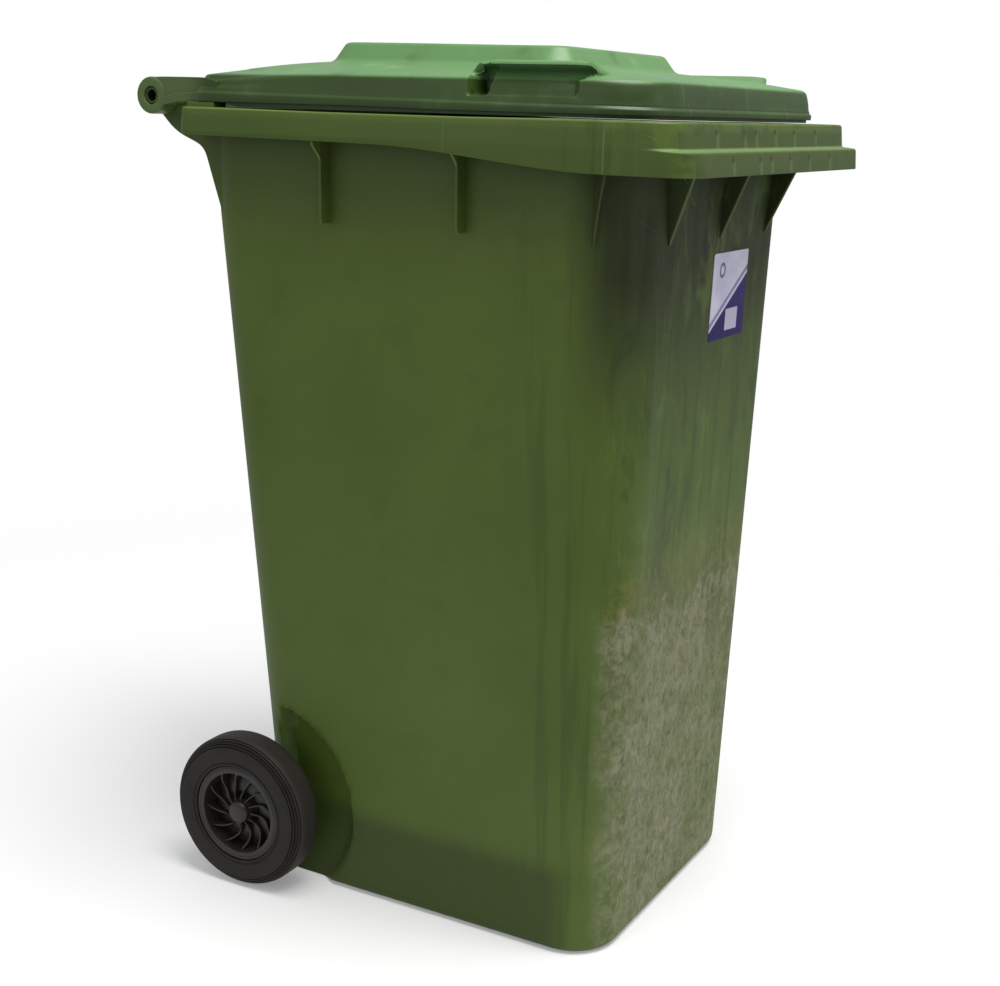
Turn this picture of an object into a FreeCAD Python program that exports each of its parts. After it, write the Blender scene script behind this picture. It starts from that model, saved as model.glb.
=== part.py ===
"""Two-wheeled refuse bin with a hinged lid, built as a parametric document, in millimetres.

The frame: X across the bin, -Y to the front where the comb is, +Z up. The origin is on the
ground under the middle of the bin's box. Every size comes from the spreadsheet below.
"""
import FreeCAD, Part
import math
import os
import Sketcher
from FreeCAD import Placement, Rotation, Vector

DIMENSIONS = {
    # tub: tapered body, from the base up to the shoulder and the collar under the rim
    "base_half_width": 215.0,
    "base_front_y": -265.5,
    "base_rear_y": 216.5,
    "base_corner": 62.0,
    "shoulder_height": 860.0,
    "shoulder_half_width": 250.5,
    "shoulder_front_y": -286.0,
    "shoulder_rear_y": 282.0,
    "shoulder_front_corner": 84.0,
    "shoulder_rear_corner": 56.0,
    "collar_height": 926.0,
    "collar_half_width": 252.0,
    "collar_front_y": -288.0,
    "collar_rear_y": 284.0,
    "tub_wall": 4.0,
    "base_thickness": 5.0,
    # rim: a turned-down flange whose front makes the two-step lifting comb
    "rim_half_width": 290.0,
    "rim_top": 980.5,
    "rim_rear_y": 287.0,
    "rim_front_y": -343.0,
    "comb_front_y": -364.5,
    "comb_step_height": 953.0,
    "rim_front_corner": 34.0,
    "rim_rear_corner": 16.0,
    "rim_wall": 4.0,
    "skirt_rear_depth": 31.5,
    "skirt_middle_depth": 36.5,
    "skirt_slope_depth": 44.5,
    "skirt_middle_y": -24.0,
    "skirt_slope_y": -147.0,
    "skirt_front_y": -250.0,
    "trim_margin": 5.0,
    # webs under the rim
    "web_thickness": 3.5,
    "side_web_foot": 855.0,
    "side_web_depth": 19.0,
    "side_web_slope": 15.0,
    "side_web_rear_y": 95.0,
    "side_web_front_y": -84.0,
    "front_web_foot": 848.0,
    "front_web_spacing": 165.0,
    "corner_web_foot": 848.0,
    "web_overlap": 2.0,
    "rest_pad_length": 40.0,
    "rest_pad_width": 24.0,
    "lid_seat_gap": 0.4,
    # hinge: lugs on the tub, a bar between them, eyes on the lid and two push-in pins
    "hinge_y": 342.5,
    "hinge_height": 992.0,
    "eye_radius": 22.0,
    "lug_radius": 20.0,
    "lug_outer_x": 241.0,
    "lug_width": 13.0,
    "lug_knee_y": 330.0,
    "lug_knee_height": 951.0,
    "lug_heel_y": 286.0,
    "lug_heel_height": 934.0,
    "lug_shin_y": 273.0,
    "lug_shin_height": 896.0,
    "lug_root_y": 258.5,
    "lug_root_height": 855.0,
    "lug_root_overlap": 4.0,
    "handle_radius": 14.5,
    "arm_gap": 2.0,
    "arm_width": 25.0,
    "pin_radius": 10.0,
    "pin_bore_radius": 7.0,
    "pin_socket_depth": 45.0,
    "pin_recess": 2.0,
    "pin_cap_thickness": 4.0,
    "pin_chamfer": 1.5,
    "hinge_clearance": 0.08,
    # axle bay at the foot of the rear wall, and the wheel arches
    "axle_radius": 10.0,
    "axle_chamfer": 1.5,
    "axle_end_gap": 1.0,
    "axle_y": 217.0,
    "bay_front_y": 171.0,
    "bay_height": 156.0,
    "bay_slope": 48.0,
    "bay_half_width": 190.0,
    "bay_web_x": 72.0,
    "bay_web_thickness": 6.0,
    "bay_web_rear_y": 233.0,
    "bay_web_rise": 8.0,
    "bay_web_nose": 20.0,
    "bay_web_heel": 14.0,
    "axle_boss_radius": 21.0,
    "axle_boss_outer_x": 229.0,
    "axle_clearance": 0.05,
    "arch_radius": 140.0,
    "arch_inner_x": 200.0,
    "arch_rear_y": 186.0,
    # wheels
    "wheel_radius": 100.0,
    "wheel_width": 51.0,
    "wheel_outer_x": 283.0,
    "tyre_bore_radius": 64.0,
    "tyre_shoulder": 11.0,
    "rim_ring_radius": 53.0,
    "rim_ring_width": 42.0,
    "hub_radius": 24.0,
    "hub_bore_clearance": 0.06,
    "hub_cap_thickness": 7.0,
    "hub_inset": 1.5,
    "hub_chamfer": 6.0,
    "spoke_disc_thickness": 8.0,
    "spoke_disc_setback": 12.0,
    "spoke_count": 12.0,
    "window_margin": 3.0,
    "window_root_half": 3.4,
    "window_tip_low": 2.4,
    "window_tip_high": 14.9,
    # snap lock in each hub: a sprung pin in a radial pocket that drops into a groove in the axle
    "latch_setback": 30.0,
    "latch_pin_radius": 3.5,
    "latch_pin_length": 6.0,
    "latch_clearance": 0.06,
    "latch_tip_radius": 8.0,
    "latch_groove_radius": 7.4,
    "latch_groove_width": 9.0,
    "latch_plug_thickness": 3.4,
    "latch_plug_inset": 0.5,
    "latch_spring_wire": 0.35,
    "latch_spring_coil": 2.7,
    "latch_spring_turns": 3.5,
    "latch_spring_seat": 0.05,
    # lid
    "lid_wall": 3.5,
    "lid_bottom": 985.0,
    "lid_half_width": 280.0,
    "lid_front_y": -315.0,
    "lid_rear_y": 278.0,
    "lid_front_corner": 75.0,
    "lid_rear_corner": 30.0,
    "lid_ridge_height": 1020.0,
    "lid_ridge_inset": 8.0,
    "deck_crest_height": 1037.0,
    "platform_height": 1060.0,
    "platform_half_width": 145.0,
    "platform_front_y": -145.0,
    "platform_rear_y": 151.0,
    "platform_corner": 18.0,
    "platform_flare": 15.0,
    "arm_front_y": 236.0,
    "arm_top": 1017.0,
    "arm_root_length": 22.0,
    # finger grips in the lid's sides
    "grip_front_y": -230.0,
    "grip_rear_y": -95.0,
    "grip_depth": 28.0,
    "grip_floor": 1001.0,
    "grip_roof": 1032.0,
    "grip_wall": 3.5,
    "hood_top": 1038.0,
    "hood_reach": 14.0,
    "hood_drop": 8.0,
    "hood_lip": 3.0,
    "hood_edge": 12.0,
    "hood_rise": 4.0,
    "grip_mouth": 7.0,
    "grip_brow": 5.0,
    # data label on the front wall
    "label_width": 113.0,
    "label_height": 104.0,
    "label_corner": 3.0,
    "label_thickness": 0.5,
    "label_x": 44.0,
    "label_centre_height": 778.0,
}

FLAT = Rotation()
ACROSS_Y = Rotation(Vector(1, 0, 0), 90)
ACROSS_X = Rotation(Vector(1, 1, 1), 120)
HALF_TURN = Rotation(Vector(0, 0, 1), 180)
CORNER_WEB_TURN = 30.0  # degrees between the corner webs and a line straight across
ROUND_SHARE = 0.3  # how far down each leg of a shoulder its middle corner stands

doc = FreeCAD.newDocument("refuse_bin")
sheet = doc.addObject("Spreadsheet::Sheet", "dims")
for row, (alias, number) in enumerate(DIMENSIONS.items(), start=1):
    sheet.set(f"A{row}", alias)
    sheet.set(f"B{row}", str(number))
    sheet.setAlias(f"B{row}", alias)
doc.recompute()


class Size:
    """A number together with the spreadsheet expression that gives it."""

    def __init__(self, number, text):
        self.number = number
        self.text = text

    def __add__(self, other):
        other = as_size(other)
        return Size(self.number + other.number, f"({self.text} + {other.text})")

    def __sub__(self, other):
        other = as_size(other)
        return Size(self.number - other.number, f"({self.text} - {other.text})")

    def __mul__(self, other):
        other = as_size(other)
        return Size(self.number * other.number, f"({self.text} * {other.text})")

    def __truediv__(self, other):
        other = as_size(other)
        return Size(self.number / other.number, f"({self.text} / {other.text})")

    def __neg__(self):
        return Size(-self.number, f"(0 - {self.text})")


def as_size(thing):
    """A plain number becomes a size whose expression is the number itself."""
    return thing if isinstance(thing, Size) else Size(float(thing), f"({float(thing)})")


def dim(alias):
    """The driving dimension of this name."""
    return Size(float(sheet.get(alias)), f"dims.{alias}")


def bind(thing, **sizes):
    """Binds properties to sizes; a double underscore in a name stands for a dot."""
    for name, size in sizes.items():
        thing.setExpression(name.replace("__", "."), as_size(size).text)
    return thing


def place(thing, x=0, y=0, z=0):
    """Binds the place of an object."""
    return bind(thing, Placement__Base__x=x, Placement__Base__y=y, Placement__Base__z=z)


# ---- sketches ------------------------------------------------------------------------------


def free_sketch(name, turn=FLAT, **offset):
    """A sketch on its own, turned to lie across an axis and placed by an offset x, y or z."""
    sketch = doc.addObject("Sketcher::SketchObject", name)
    sketch.Placement = Placement(Vector(), turn)
    return place(sketch, **offset)


def body_sketch(body, name, role, offset=0):
    """A sketch attached to one of its body's own origin planes."""
    sketch = body.newObject("Sketcher::SketchObject", name)
    plane = [feature for feature in body.Origin.OriginFeatures if feature.Role == role][0]
    sketch.AttachmentSupport = (plane, [""])
    sketch.MapMode = "FlatFace"
    return bind(sketch, AttachmentOffset__Base__z=offset)


def hold(sketch, kind, *reference, size):
    """Adds one dimension to a sketch and binds it to a size."""
    size = as_size(size)
    index = sketch.addConstraint(Sketcher.Constraint(kind, *reference, size.number))
    sketch.setExpression(f"Constraints[{index}]", size.text)


def outline(sketch, corners):
    """A closed run of straight lines through the corners, each held at its own place."""
    corners = [(as_size(x), as_size(y)) for x, y in corners]
    count = len(corners)
    points = [Vector(x.number, y.number, 0) for x, y in corners]
    for index in range(count):
        sketch.addGeometry(Part.LineSegment(points[index], points[(index + 1) % count]))
    for index in range(count):
        sketch.addConstraint(Sketcher.Constraint("Coincident", index, 2, (index + 1) % count, 1))
    for index, (x, y) in enumerate(corners):
        hold(sketch, "DistanceX", -1, 1, index, 1, size=x)
        hold(sketch, "DistanceY", -1, 1, index, 1, size=y)
    return sketch


def rounded(sketch, half_width, front, rear, front_corner, rear_corner):
    """A rectangle symmetric about the middle plane, with its four corners rounded."""
    right, front, rear = as_size(half_width), as_size(front), as_size(rear)
    front_corner, rear_corner = as_size(front_corner), as_size(rear_corner)
    left = -right
    low = front_corner.number
    high = rear_corner.number
    x0, x1, y0, y1 = left.number, right.number, front.number, rear.number
    ends = [
        (Vector(x0 + low, y0, 0), Vector(x1 - low, y0, 0)),
        (Vector(x1, y0 + low, 0), Vector(x1, y1 - high, 0)),
        (Vector(x1 - high, y1, 0), Vector(x0 + high, y1, 0)),
        (Vector(x0, y1 - high, 0), Vector(x0, y0 + low, 0)),
    ]
    centres = [
        Vector(x1 - low, y0 + low, 0),
        Vector(x1 - high, y1 - high, 0),
        Vector(x0 + high, y1 - high, 0),
        Vector(x0 + low, y0 + low, 0),
    ]
    for side in range(4):
        radius = high if side in (1, 2) else low
        start = (side - 1) * math.pi / 2
        circle = Part.Circle(centres[side], Vector(0, 0, 1), radius)
        sketch.addGeometry(Part.LineSegment(*ends[side]))
        sketch.addGeometry(Part.ArcOfCircle(circle, start, start + math.pi / 2))
    for side in range(4):
        line, arc, following = 2 * side, 2 * side + 1, (2 * side + 2) % 8
        sketch.addConstraint(Sketcher.Constraint("Tangent", line, 2, arc, 1))
        sketch.addConstraint(Sketcher.Constraint("Tangent", arc, 2, following, 1))
        sketch.addConstraint(Sketcher.Constraint("Vertical" if side % 2 else "Horizontal", line))
        hold(sketch, "Radius", arc, size=rear_corner if side in (1, 2) else front_corner)
    hold(sketch, "DistanceY", -1, 1, 0, 1, size=front)
    hold(sketch, "DistanceX", -1, 1, 2, 1, size=right)
    hold(sketch, "DistanceY", -1, 1, 4, 1, size=rear)
    hold(sketch, "DistanceX", -1, 1, 6, 1, size=left)
    return sketch


def circle(sketch, radius, x=0, y=0):
    """A whole circle held by its centre and radius."""
    x, y, radius = as_size(x), as_size(y), as_size(radius)
    centre = Vector(x.number, y.number, 0)
    index = sketch.addGeometry(Part.Circle(centre, Vector(0, 0, 1), radius.number))
    hold(sketch, "DistanceX", -1, 1, index, 3, size=x)
    hold(sketch, "DistanceY", -1, 1, index, 3, size=y)
    hold(sketch, "Radius", index, size=radius)
    return sketch


# ---- solids from sketches ------------------------------------------------------------------


def feature(kind, name, **links):
    """A document object of this kind with its links and settings."""
    thing = doc.addObject(kind, name)
    for key, link in links.items():
        setattr(thing, key, link)
    return thing


def extruded(sketch, length, both=False):
    """A sketch carried along its normal, or half to each side of it."""
    solid = feature("Part::Extrusion", sketch.Name + "_solid", Base=sketch, DirMode="Normal")
    solid.Solid = True
    solid.Symmetric = both
    return bind(solid, LengthFwd=length)


def lofted(name, *sections):
    """A ruled solid through the sections."""
    return feature("Part::Loft", name, Sections=list(sections), Solid=True, Ruled=True)


def joined(name, *shapes):
    """The union of the shapes."""
    return feature("Part::MultiFuse", name, Shapes=list(shapes), Refine=True)


def cut(name, base, tool):
    """The base without the tool."""
    return feature("Part::Cut", name, Base=base, Tool=tool, Refine=True)


def shared(name, *shapes):
    """What the shapes have in common."""
    return feature("Part::MultiCommon", name, Shapes=list(shapes), Refine=True)


def mirror_image(shape):
    """The same shape on the other side of the middle plane."""
    return feature("Part::Mirroring", shape.Name + "_mirrored", Source=shape, Normal=Vector(1, 0, 0))


def cross_bar(name, radius, start, end, y, z):
    """A round bar along X from start to end."""
    start, end = as_size(start), as_size(end)
    bar = feature("Part::Cylinder", name)
    bar.Placement = Placement(Vector(), Rotation(Vector(0, 1, 0), 90))
    bind(bar, Radius=radius, Height=end - start)
    return place(bar, x=start, y=y, z=z)


def side_plate(name, corners, start, width):
    """A plate across X, from start over its width, whose outline is given as (y, z) corners."""
    return extruded(outline(free_sketch(name, ACROSS_X, x=start), corners), width)


# ---- tub -----------------------------------------------------------------------------------

wall = dim("tub_wall")


def tub_section(name, stage, corner_front, corner_rear, inset=0, height=0):
    """One level of the tub's body, the given distance inside the outer face."""
    return rounded(
        free_sketch(name, z=height),
        dim(stage + "_half_width") - inset,
        dim(stage + "_front_y") + inset,
        dim(stage + "_rear_y") - inset,
        dim(corner_front) - inset,
        dim(corner_rear) - inset,
    )


def tub_body(prefix, inset, floor):
    """The tapered body from the floor up to the rim's top, the given distance inside its face."""
    base = tub_section(prefix + "_base", "base", "base_corner", "base_corner", inset, floor)
    corners = ("shoulder_front_corner", "shoulder_rear_corner")
    shoulder = tub_section(prefix + "_shoulder", "shoulder", *corners, inset, dim("shoulder_height"))
    collar = tub_section(prefix + "_collar", "collar", *corners, inset, dim("collar_height"))
    mouth = tub_section(prefix + "_mouth", "collar", *corners, inset, dim("rim_top"))
    lower = lofted(prefix + "_lower", base, shoulder)
    upper = lofted(prefix + "_upper", shoulder, collar)
    throat = lofted(prefix + "_throat", collar, mouth)
    return joined(prefix + "_body", lower, upper, throat)


def rim_level(name, front_y, bottom, top, inset=0):
    """One storey of the rim between two heights."""
    front, low = dim(front_y) + inset, as_size(bottom)
    sketch = rounded(
        free_sketch(name, z=low),
        dim("rim_half_width") - inset,
        front,
        dim("rim_rear_y") - inset,
        dim("rim_front_corner") - inset,
        dim("rim_rear_corner") - inset,
    )
    return extruded(sketch, as_size(top) - low)


def rim():
    """The hollow two-step flange, with its side skirts trimmed to a falling lower edge."""
    step, top, low = dim("comb_step_height"), dim("rim_top"), dim("collar_height")
    thick = dim("rim_wall")
    outer = joined(
        "rim_outer",
        rim_level("comb_band", "comb_front_y", low, step),
        rim_level("rim_band", "rim_front_y", step, top),
    )
    inner = joined(
        "rim_inner",
        rim_level("comb_hollow", "comb_front_y", low - 1, step - thick, thick),
        rim_level("rim_hollow", "rim_front_y", step - thick - 1, top - thick, thick),
    )
    shell = cut("rim_shell", outer, inner)
    margin = dim("trim_margin")
    below, behind = low - margin, dim("rim_rear_y") + margin
    edge = [
        (behind, below),
        (behind, top - dim("skirt_rear_depth")),
        (dim("skirt_middle_y"), top - dim("skirt_middle_depth")),
        (dim("skirt_slope_y"), top - dim("skirt_slope_depth")),
        (dim("skirt_front_y"), low),
        (dim("skirt_front_y"), below),
    ]
    sketch = outline(free_sketch("skirt_trim", ACROSS_X), edge)
    trim = extruded(sketch, (dim("rim_half_width") + margin) * 2, both=True)
    return cut("rim", shell, trim)


def side_web(name, y):
    """A web under the side skirt, sloping in and then straight down, and its mirror image."""
    outer, under = dim("rim_half_width"), dim("rim_top") - dim("rim_wall") / 2
    inner = dim("shoulder_half_width") - wall / 2
    edge = dim("collar_half_width") + dim("side_web_depth")
    skirt_foot = dim("rim_top") - dim("skirt_middle_depth")
    corners = [
        (inner, under),
        (outer - dim("rim_wall") / 2, under),
        (outer - dim("rim_wall") / 2, skirt_foot + 3),
        (edge, skirt_foot - dim("side_web_slope")),
        (edge, dim("side_web_foot")),
        (inner, dim("side_web_foot")),
    ]
    sketch = outline(free_sketch(name, ACROSS_Y, y=as_size(y)), corners)
    web = extruded(sketch, dim("web_thickness"), both=True)
    return [web, mirror_image(web)]


def front_web(name, x):
    """A three-cornered web from the comb's roof down to its foot on the front wall."""
    under, thick = dim("rim_top") - dim("rim_wall") / 2, dim("web_thickness")
    face = dim("shoulder_front_y")
    corners = [
        (face + wall / 2, under),
        (dim("rim_front_y") + dim("rim_wall") / 2, under),
        (face - 1, dim("front_web_foot")),
        (face + wall / 2, dim("front_web_foot")),
    ]
    return side_plate(name, corners, as_size(x) - thick / 2, thick)


def corner_web():
    """A web across each front corner, from the skirt down to the body, turned off the side wall."""
    corner, overlap = dim("shoulder_front_corner"), dim("web_overlap")
    reach = corner - overlap
    under = dim("rim_top") - dim("rim_wall") / 2
    aside = dim("rim_half_width") - dim("rim_wall") / 2 - dim("collar_half_width") + corner
    skirt = aside / math.cos(math.radians(CORNER_WEB_TURN))
    corners = [
        (reach, under),
        (skirt, under),
        (skirt, dim("collar_height") + overlap),
        (corner + 1, dim("corner_web_foot")),
        (reach - overlap, dim("corner_web_foot")),
    ]
    outward = Rotation(Vector(0, 0, 1), 180 + CORNER_WEB_TURN).multiply(ACROSS_Y)
    sketch = outline(free_sketch("corner_web", outward), corners)
    place(sketch, x=corner - dim("collar_half_width"), y=dim("collar_front_y") + corner)
    web = extruded(sketch, dim("web_thickness"), both=True)
    return [web, mirror_image(web)]


def lug():
    """The hinge lug on one side, from the body's rear corner out to the pin, and its mirror image."""
    y, z, radius = dim("hinge_y"), dim("hinge_height"), dim("lug_radius")
    inside = dim("lug_root_y") - dim("lug_root_overlap")
    slant = math.sqrt(0.5)
    corners = [
        (inside, dim("lug_root_height")),
        (dim("lug_root_y"), dim("lug_root_height")),
        (dim("lug_shin_y"), dim("lug_shin_height")),
        (dim("lug_heel_y"), dim("lug_heel_height")),
        (dim("lug_knee_y"), dim("lug_knee_height")),
        (y + radius * slant, z - radius * slant),
        (y, z + radius),
        (dim("rim_rear_y"), dim("rim_top")),
        (inside, dim("rim_top")),
    ]
    outer = dim("lug_outer_x")
    plate = side_plate("lug", corners, outer - dim("lug_width"), dim("lug_width"))
    boss = cross_bar("lug_boss", radius, outer - dim("lug_width"), outer, y, z)
    return [plate, boss, mirror_image(plate), mirror_image(boss)]


def rest_pad():
    """A low pad on each rear corner of the rim, for the lid to sit on."""
    top, height = dim("rim_top"), dim("lid_bottom") - dim("lid_seat_gap") - dim("rim_top")
    pad = feature("Part::Box", "rest_pad")
    bind(pad, Length=dim("rest_pad_width"), Width=dim("rest_pad_length"), Height=height + 1)
    place(pad, x=dim("lid_half_width") - dim("rest_pad_width"), z=top - 1,
          y=dim("lid_rear_y") - dim("rest_pad_length"))
    return [pad, mirror_image(pad)]


def bay_outline(name, thicker, half_width):
    """The axle bay's side view as a solid, opened out by the given thickness."""
    front, top = dim("bay_front_y") - thicker, dim("bay_height") + thicker
    rear = dim("shoulder_rear_y")
    corners = [
        (front, -dim("base_thickness")),
        (front, top - dim("bay_slope")),
        (dim("base_rear_y") + 2, top),
        (rear, top),
        (rear, -dim("base_thickness")),
    ]
    half_width = as_size(half_width)
    return side_plate(name, corners, -half_width, half_width * 2)


def arch(name, thicker):
    """The wheel-arch recess on the left side as a solid, opened out by the given thickness."""
    radius, inner = dim("arch_radius") + thicker, dim("arch_inner_x") - thicker
    reach = dim("wheel_outer_x")
    disc = cross_bar(name + "_disc", radius, -reach, -inner, dim("axle_y"), dim("wheel_radius"))
    front = feature("Part::Box", name + "_front")
    bind(front, Length=reach * 2, Width=dim("arch_radius") * 2, Height=dim("arch_radius") * 3)
    place(front, x=-reach, y=dim("arch_rear_y") + thicker - dim("arch_radius") * 2,
          z=-dim("arch_radius"))
    recess = shared(name, disc, front)
    return [recess, mirror_image(recess)]


def bay_web(name, x):
    """A web across the axle bay that carries the middle of the axle."""
    corners = [
        (dim("bay_front_y") - 1, 0),
        (dim("bay_front_y") - 1, dim("bay_height")),
        (dim("base_rear_y") + 1, dim("bay_height") + dim("bay_web_rise")),
        (dim("bay_web_rear_y"), dim("wheel_radius") + dim("bay_web_nose")),
        (dim("bay_web_rear_y"), dim("wheel_radius") - dim("bay_web_nose")),
        (dim("base_rear_y") - dim("bay_web_heel"), 0),
    ]
    thick = dim("bay_web_thickness")
    return side_plate(name, corners, as_size(x) - thick / 2, thick)


def make_tub():
    """The moulded tub: body, rim, comb, webs, hinge lugs, handle bar and axle bay in one piece."""
    outer = joined("tub_outer", tub_body("outer", 0, 0), rim())
    cavity = tub_body("cavity", wall, dim("base_thickness"))
    kept_walls = joined("kept_walls", bay_outline("bay_block", wall, dim("base_half_width")),
                        *arch("arch_block", wall))
    webs = [*side_web("side_web_rear", dim("side_web_rear_y")),
            *side_web("side_web_front", dim("side_web_front_y")), *corner_web()]
    webs += [front_web(f"front_web_{place_name}", dim("front_web_spacing") * step)
             for place_name, step in (("left", -1), ("middle", 0), ("right", 1))]
    bar_end = dim("lug_outer_x") - dim("lug_width") / 2
    bar = cross_bar("handle_bar", dim("handle_radius"), -bar_end, bar_end,
                    dim("hinge_y"), dim("hinge_height"))
    full = joined("tub_full", outer, *webs, *lug(), bar, *rest_pad())
    # the cavity stops at the bay and the arches, so that their walls stay
    hollow = cut("tub_hollow", cavity, kept_walls)
    shell = cut("tub_shell", full, hollow)
    recesses = joined("recesses", bay_outline("bay", 0, dim("bay_half_width")), *arch("arch", 0))
    open_shell = cut("tub_open_shell", shell, recesses)
    stations = {
        "left_end": -dim("bay_half_width"),
        "left": -dim("bay_web_x"),
        "right": dim("bay_web_x"),
        "right_end": dim("bay_half_width"),
    }
    bay_webs = [bay_web(f"bay_web_{name}", x) for name, x in stations.items()]
    boss = cross_bar("axle_boss", dim("axle_boss_radius"), dim("bay_half_width") - 3,
                     dim("axle_boss_outer_x"), dim("axle_y"), dim("wheel_radius"))
    braced = joined("tub_braced", open_shell, *bay_webs, boss, mirror_image(boss))
    reach = dim("wheel_outer_x")
    bore = cross_bar("axle_bore", dim("axle_radius") + dim("axle_clearance"), -reach, reach,
                     dim("axle_y"), dim("wheel_radius"))
    outer_x = dim("lug_outer_x")
    sockets = cross_bar("pin_socket", dim("pin_radius"), outer_x - dim("pin_socket_depth"),
                        outer_x + 1, dim("hinge_y"), dim("hinge_height"))
    tub = cut("tub", braced, joined("tub_bores", bore, sockets, mirror_image(sockets)))
    return tub


# ---- lid -----------------------------------------------------------------------------------


def lid_section(name, half_width, front, rear, front_corner, rear_corner, height, inset=0):
    """One level of the lid's shell, the given distance inside its outer face."""
    return rounded(free_sketch(name, z=height), half_width - inset, front + inset, rear - inset,
                   front_corner - inset, rear_corner - inset)


def lid_shell(prefix, inset, drop):
    """The lid's skirt, its sloping deck and its raised platform as one solid."""
    half, front, rear = dim("lid_half_width"), dim("lid_front_y"), dim("lid_rear_y")
    corners = (dim("lid_front_corner"), dim("lid_rear_corner"))
    lean, flare = dim("lid_ridge_inset"), dim("platform_flare")
    skirt = lid_section(prefix + "_skirt", half, front, rear, *corners,
                        dim("lid_bottom") - drop / 10, inset)
    ridge = lid_section(prefix + "_ridge", half - lean, front + lean, rear - lean / 2, *corners,
                        dim("lid_ridge_height") - drop, inset)
    top = (dim("platform_half_width"), dim("platform_front_y"), dim("platform_rear_y"))
    corner = dim("platform_corner")
    crest = lid_section(prefix + "_crest", top[0] + flare, top[1] - flare, top[2] + flare,
                        corner + flare, corner + flare, dim("deck_crest_height") - drop, inset)
    crown = lid_section(prefix + "_crown", *top, corner, corner, dim("platform_height") - drop, inset)
    levels = [skirt, ridge, crest, crown]
    storeys = [lofted(f"{prefix}_storey_{index}", levels[index], levels[index + 1])
               for index in range(len(levels) - 1)]
    return joined(prefix + "_shell", *storeys)


def lid_arm():
    """The arm and eye on one side, with their mirror images."""
    y, z, radius = dim("hinge_y"), dim("hinge_height"), dim("eye_radius")
    start = dim("lug_outer_x") + dim("arm_gap")
    corners = [
        (dim("arm_front_y"), dim("lid_bottom") + 1),
        (dim("arm_front_y"), dim("arm_top")),
        (y - radius, dim("arm_top") - 1),
        (y, z + radius),
        (y - radius * 0.8, z - radius * 0.6),
        (dim("lid_rear_y") + dim("arm_root_length"), dim("lid_bottom") + 1),
    ]
    arm = side_plate("lid_arm", corners, start, dim("arm_width"))
    eye = cross_bar("lid_eye", radius, start, start + dim("arm_width"), y, z)
    return [arm, eye, mirror_image(arm), mirror_image(eye)]


def grip_plate(name, corners, front, rear):
    """A solid along the lid's side, between two places along Y, from (x, z) corners."""
    front, rear = as_size(front), as_size(rear)
    return extruded(outline(free_sketch(name, ACROSS_Y, y=rear), corners), rear - front)


def grip():
    """The walls around the finger pocket in the lid's side, and the pocket itself."""
    edge, skin = dim("lid_half_width"), dim("grip_wall")
    inner, roof, floor = edge - dim("grip_depth"), dim("grip_roof"), dim("grip_floor")
    front, rear = dim("grip_front_y"), dim("grip_rear_y")
    reach, drop, lip = dim("hood_reach"), dim("hood_drop"), dim("hood_lip")
    ridge, mouth, brow = dim("lid_ridge_height"), dim("grip_mouth"), dim("grip_brow")
    hood = [
        (inner - reach, roof - drop),
        (inner - lip, dim("hood_top")),
        (edge - dim("hood_edge"), dim("hood_top") - 1),
        (edge - lip, ridge + dim("hood_rise")),
        (edge - lip, floor + drop),
        (inner - reach, floor + drop),
    ]
    block = [(inner - skin, floor - skin), (inner - skin, roof), (edge, roof), (edge, floor - skin)]
    pocket = [
        (inner, floor),
        (inner, roof),
        (edge - reach, roof),
        (edge - mouth, ridge),
        (edge - mouth, ridge - brow),
        (edge + brow, ridge - brow),
        (edge + brow, floor),
    ]
    walls = grip_plate("grip_block", block, front - skin, rear + skin)
    roofing = grip_plate("grip_hood", hood, front - skin, rear + skin)
    return walls, roofing, grip_plate("grip_pocket", pocket, front, rear)


def make_lid():
    """The moulded lid with its arms, hinge eyes and side grips."""
    outer = lid_shell("lid_outer", 0, as_size(0))
    inner = lid_shell("lid_inner", dim("lid_wall"), dim("lid_wall"))
    shell = cut("lid_hollow", outer, inner)
    walls, hood, pocket = grip()
    wall_part = shared("grip_walls", walls, outer)
    whole = joined("lid_whole", shell, wall_part, mirror_image(wall_part), hood,
                   mirror_image(hood), *lid_arm())
    reach = dim("lid_half_width")
    bore = cross_bar("eye_bore", dim("pin_radius") + dim("hinge_clearance"), dim("lug_outer_x"),
                     reach, dim("hinge_y"), dim("hinge_height"))
    return cut("lid", whole, joined("lid_cuts", pocket, mirror_image(pocket), bore,
                                    mirror_image(bore)))


# ---- turned and moulded small parts ---------------------------------------------------------


def new_body(name):
    """A PartDesign body with the label of its node."""
    body = doc.addObject("PartDesign::Body", name)
    body.Label = name
    return body


def revolved(body, name, corners):
    """A solid of revolution about X from an outline given as (x, radius) corners."""
    sketch = outline(body_sketch(body, name, "XZ_Plane"), corners)
    turn = body.newObject("PartDesign::Revolution", name + "_turn")
    turn.Profile = sketch
    turn.ReferenceAxis = (sketch, ["H_Axis"])
    turn.Angle = 360
    return turn


def make_hinge_pin(side, sign):
    """A cup-shaped push-in pin from the lid's eye into the lug, hollow from its outer end."""
    body = new_body(f"hinge_pin_{side}")
    outer = dim("lug_outer_x") + dim("arm_gap") + dim("arm_width") - dim("pin_recess")
    inner = dim("lug_outer_x") - dim("pin_socket_depth")
    radius, bore, cap = dim("pin_radius"), dim("pin_bore_radius"), dim("pin_cap_thickness")
    length, chamfer = outer - inner, dim("pin_chamfer")
    corners = [
        (0, 0),
        (0, radius - chamfer),
        (chamfer, radius),
        (length - chamfer, radius),
        (length, radius - chamfer),
        (length, bore),
        (cap, bore),
        (cap, 0),
    ]
    revolved(body, f"pin_outline_{side}", corners)
    body.Placement = Placement(Vector(), FLAT if sign > 0 else HALF_TURN)
    return place(body, x=inner * sign, y=dim("hinge_y"), z=dim("hinge_height"))


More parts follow.
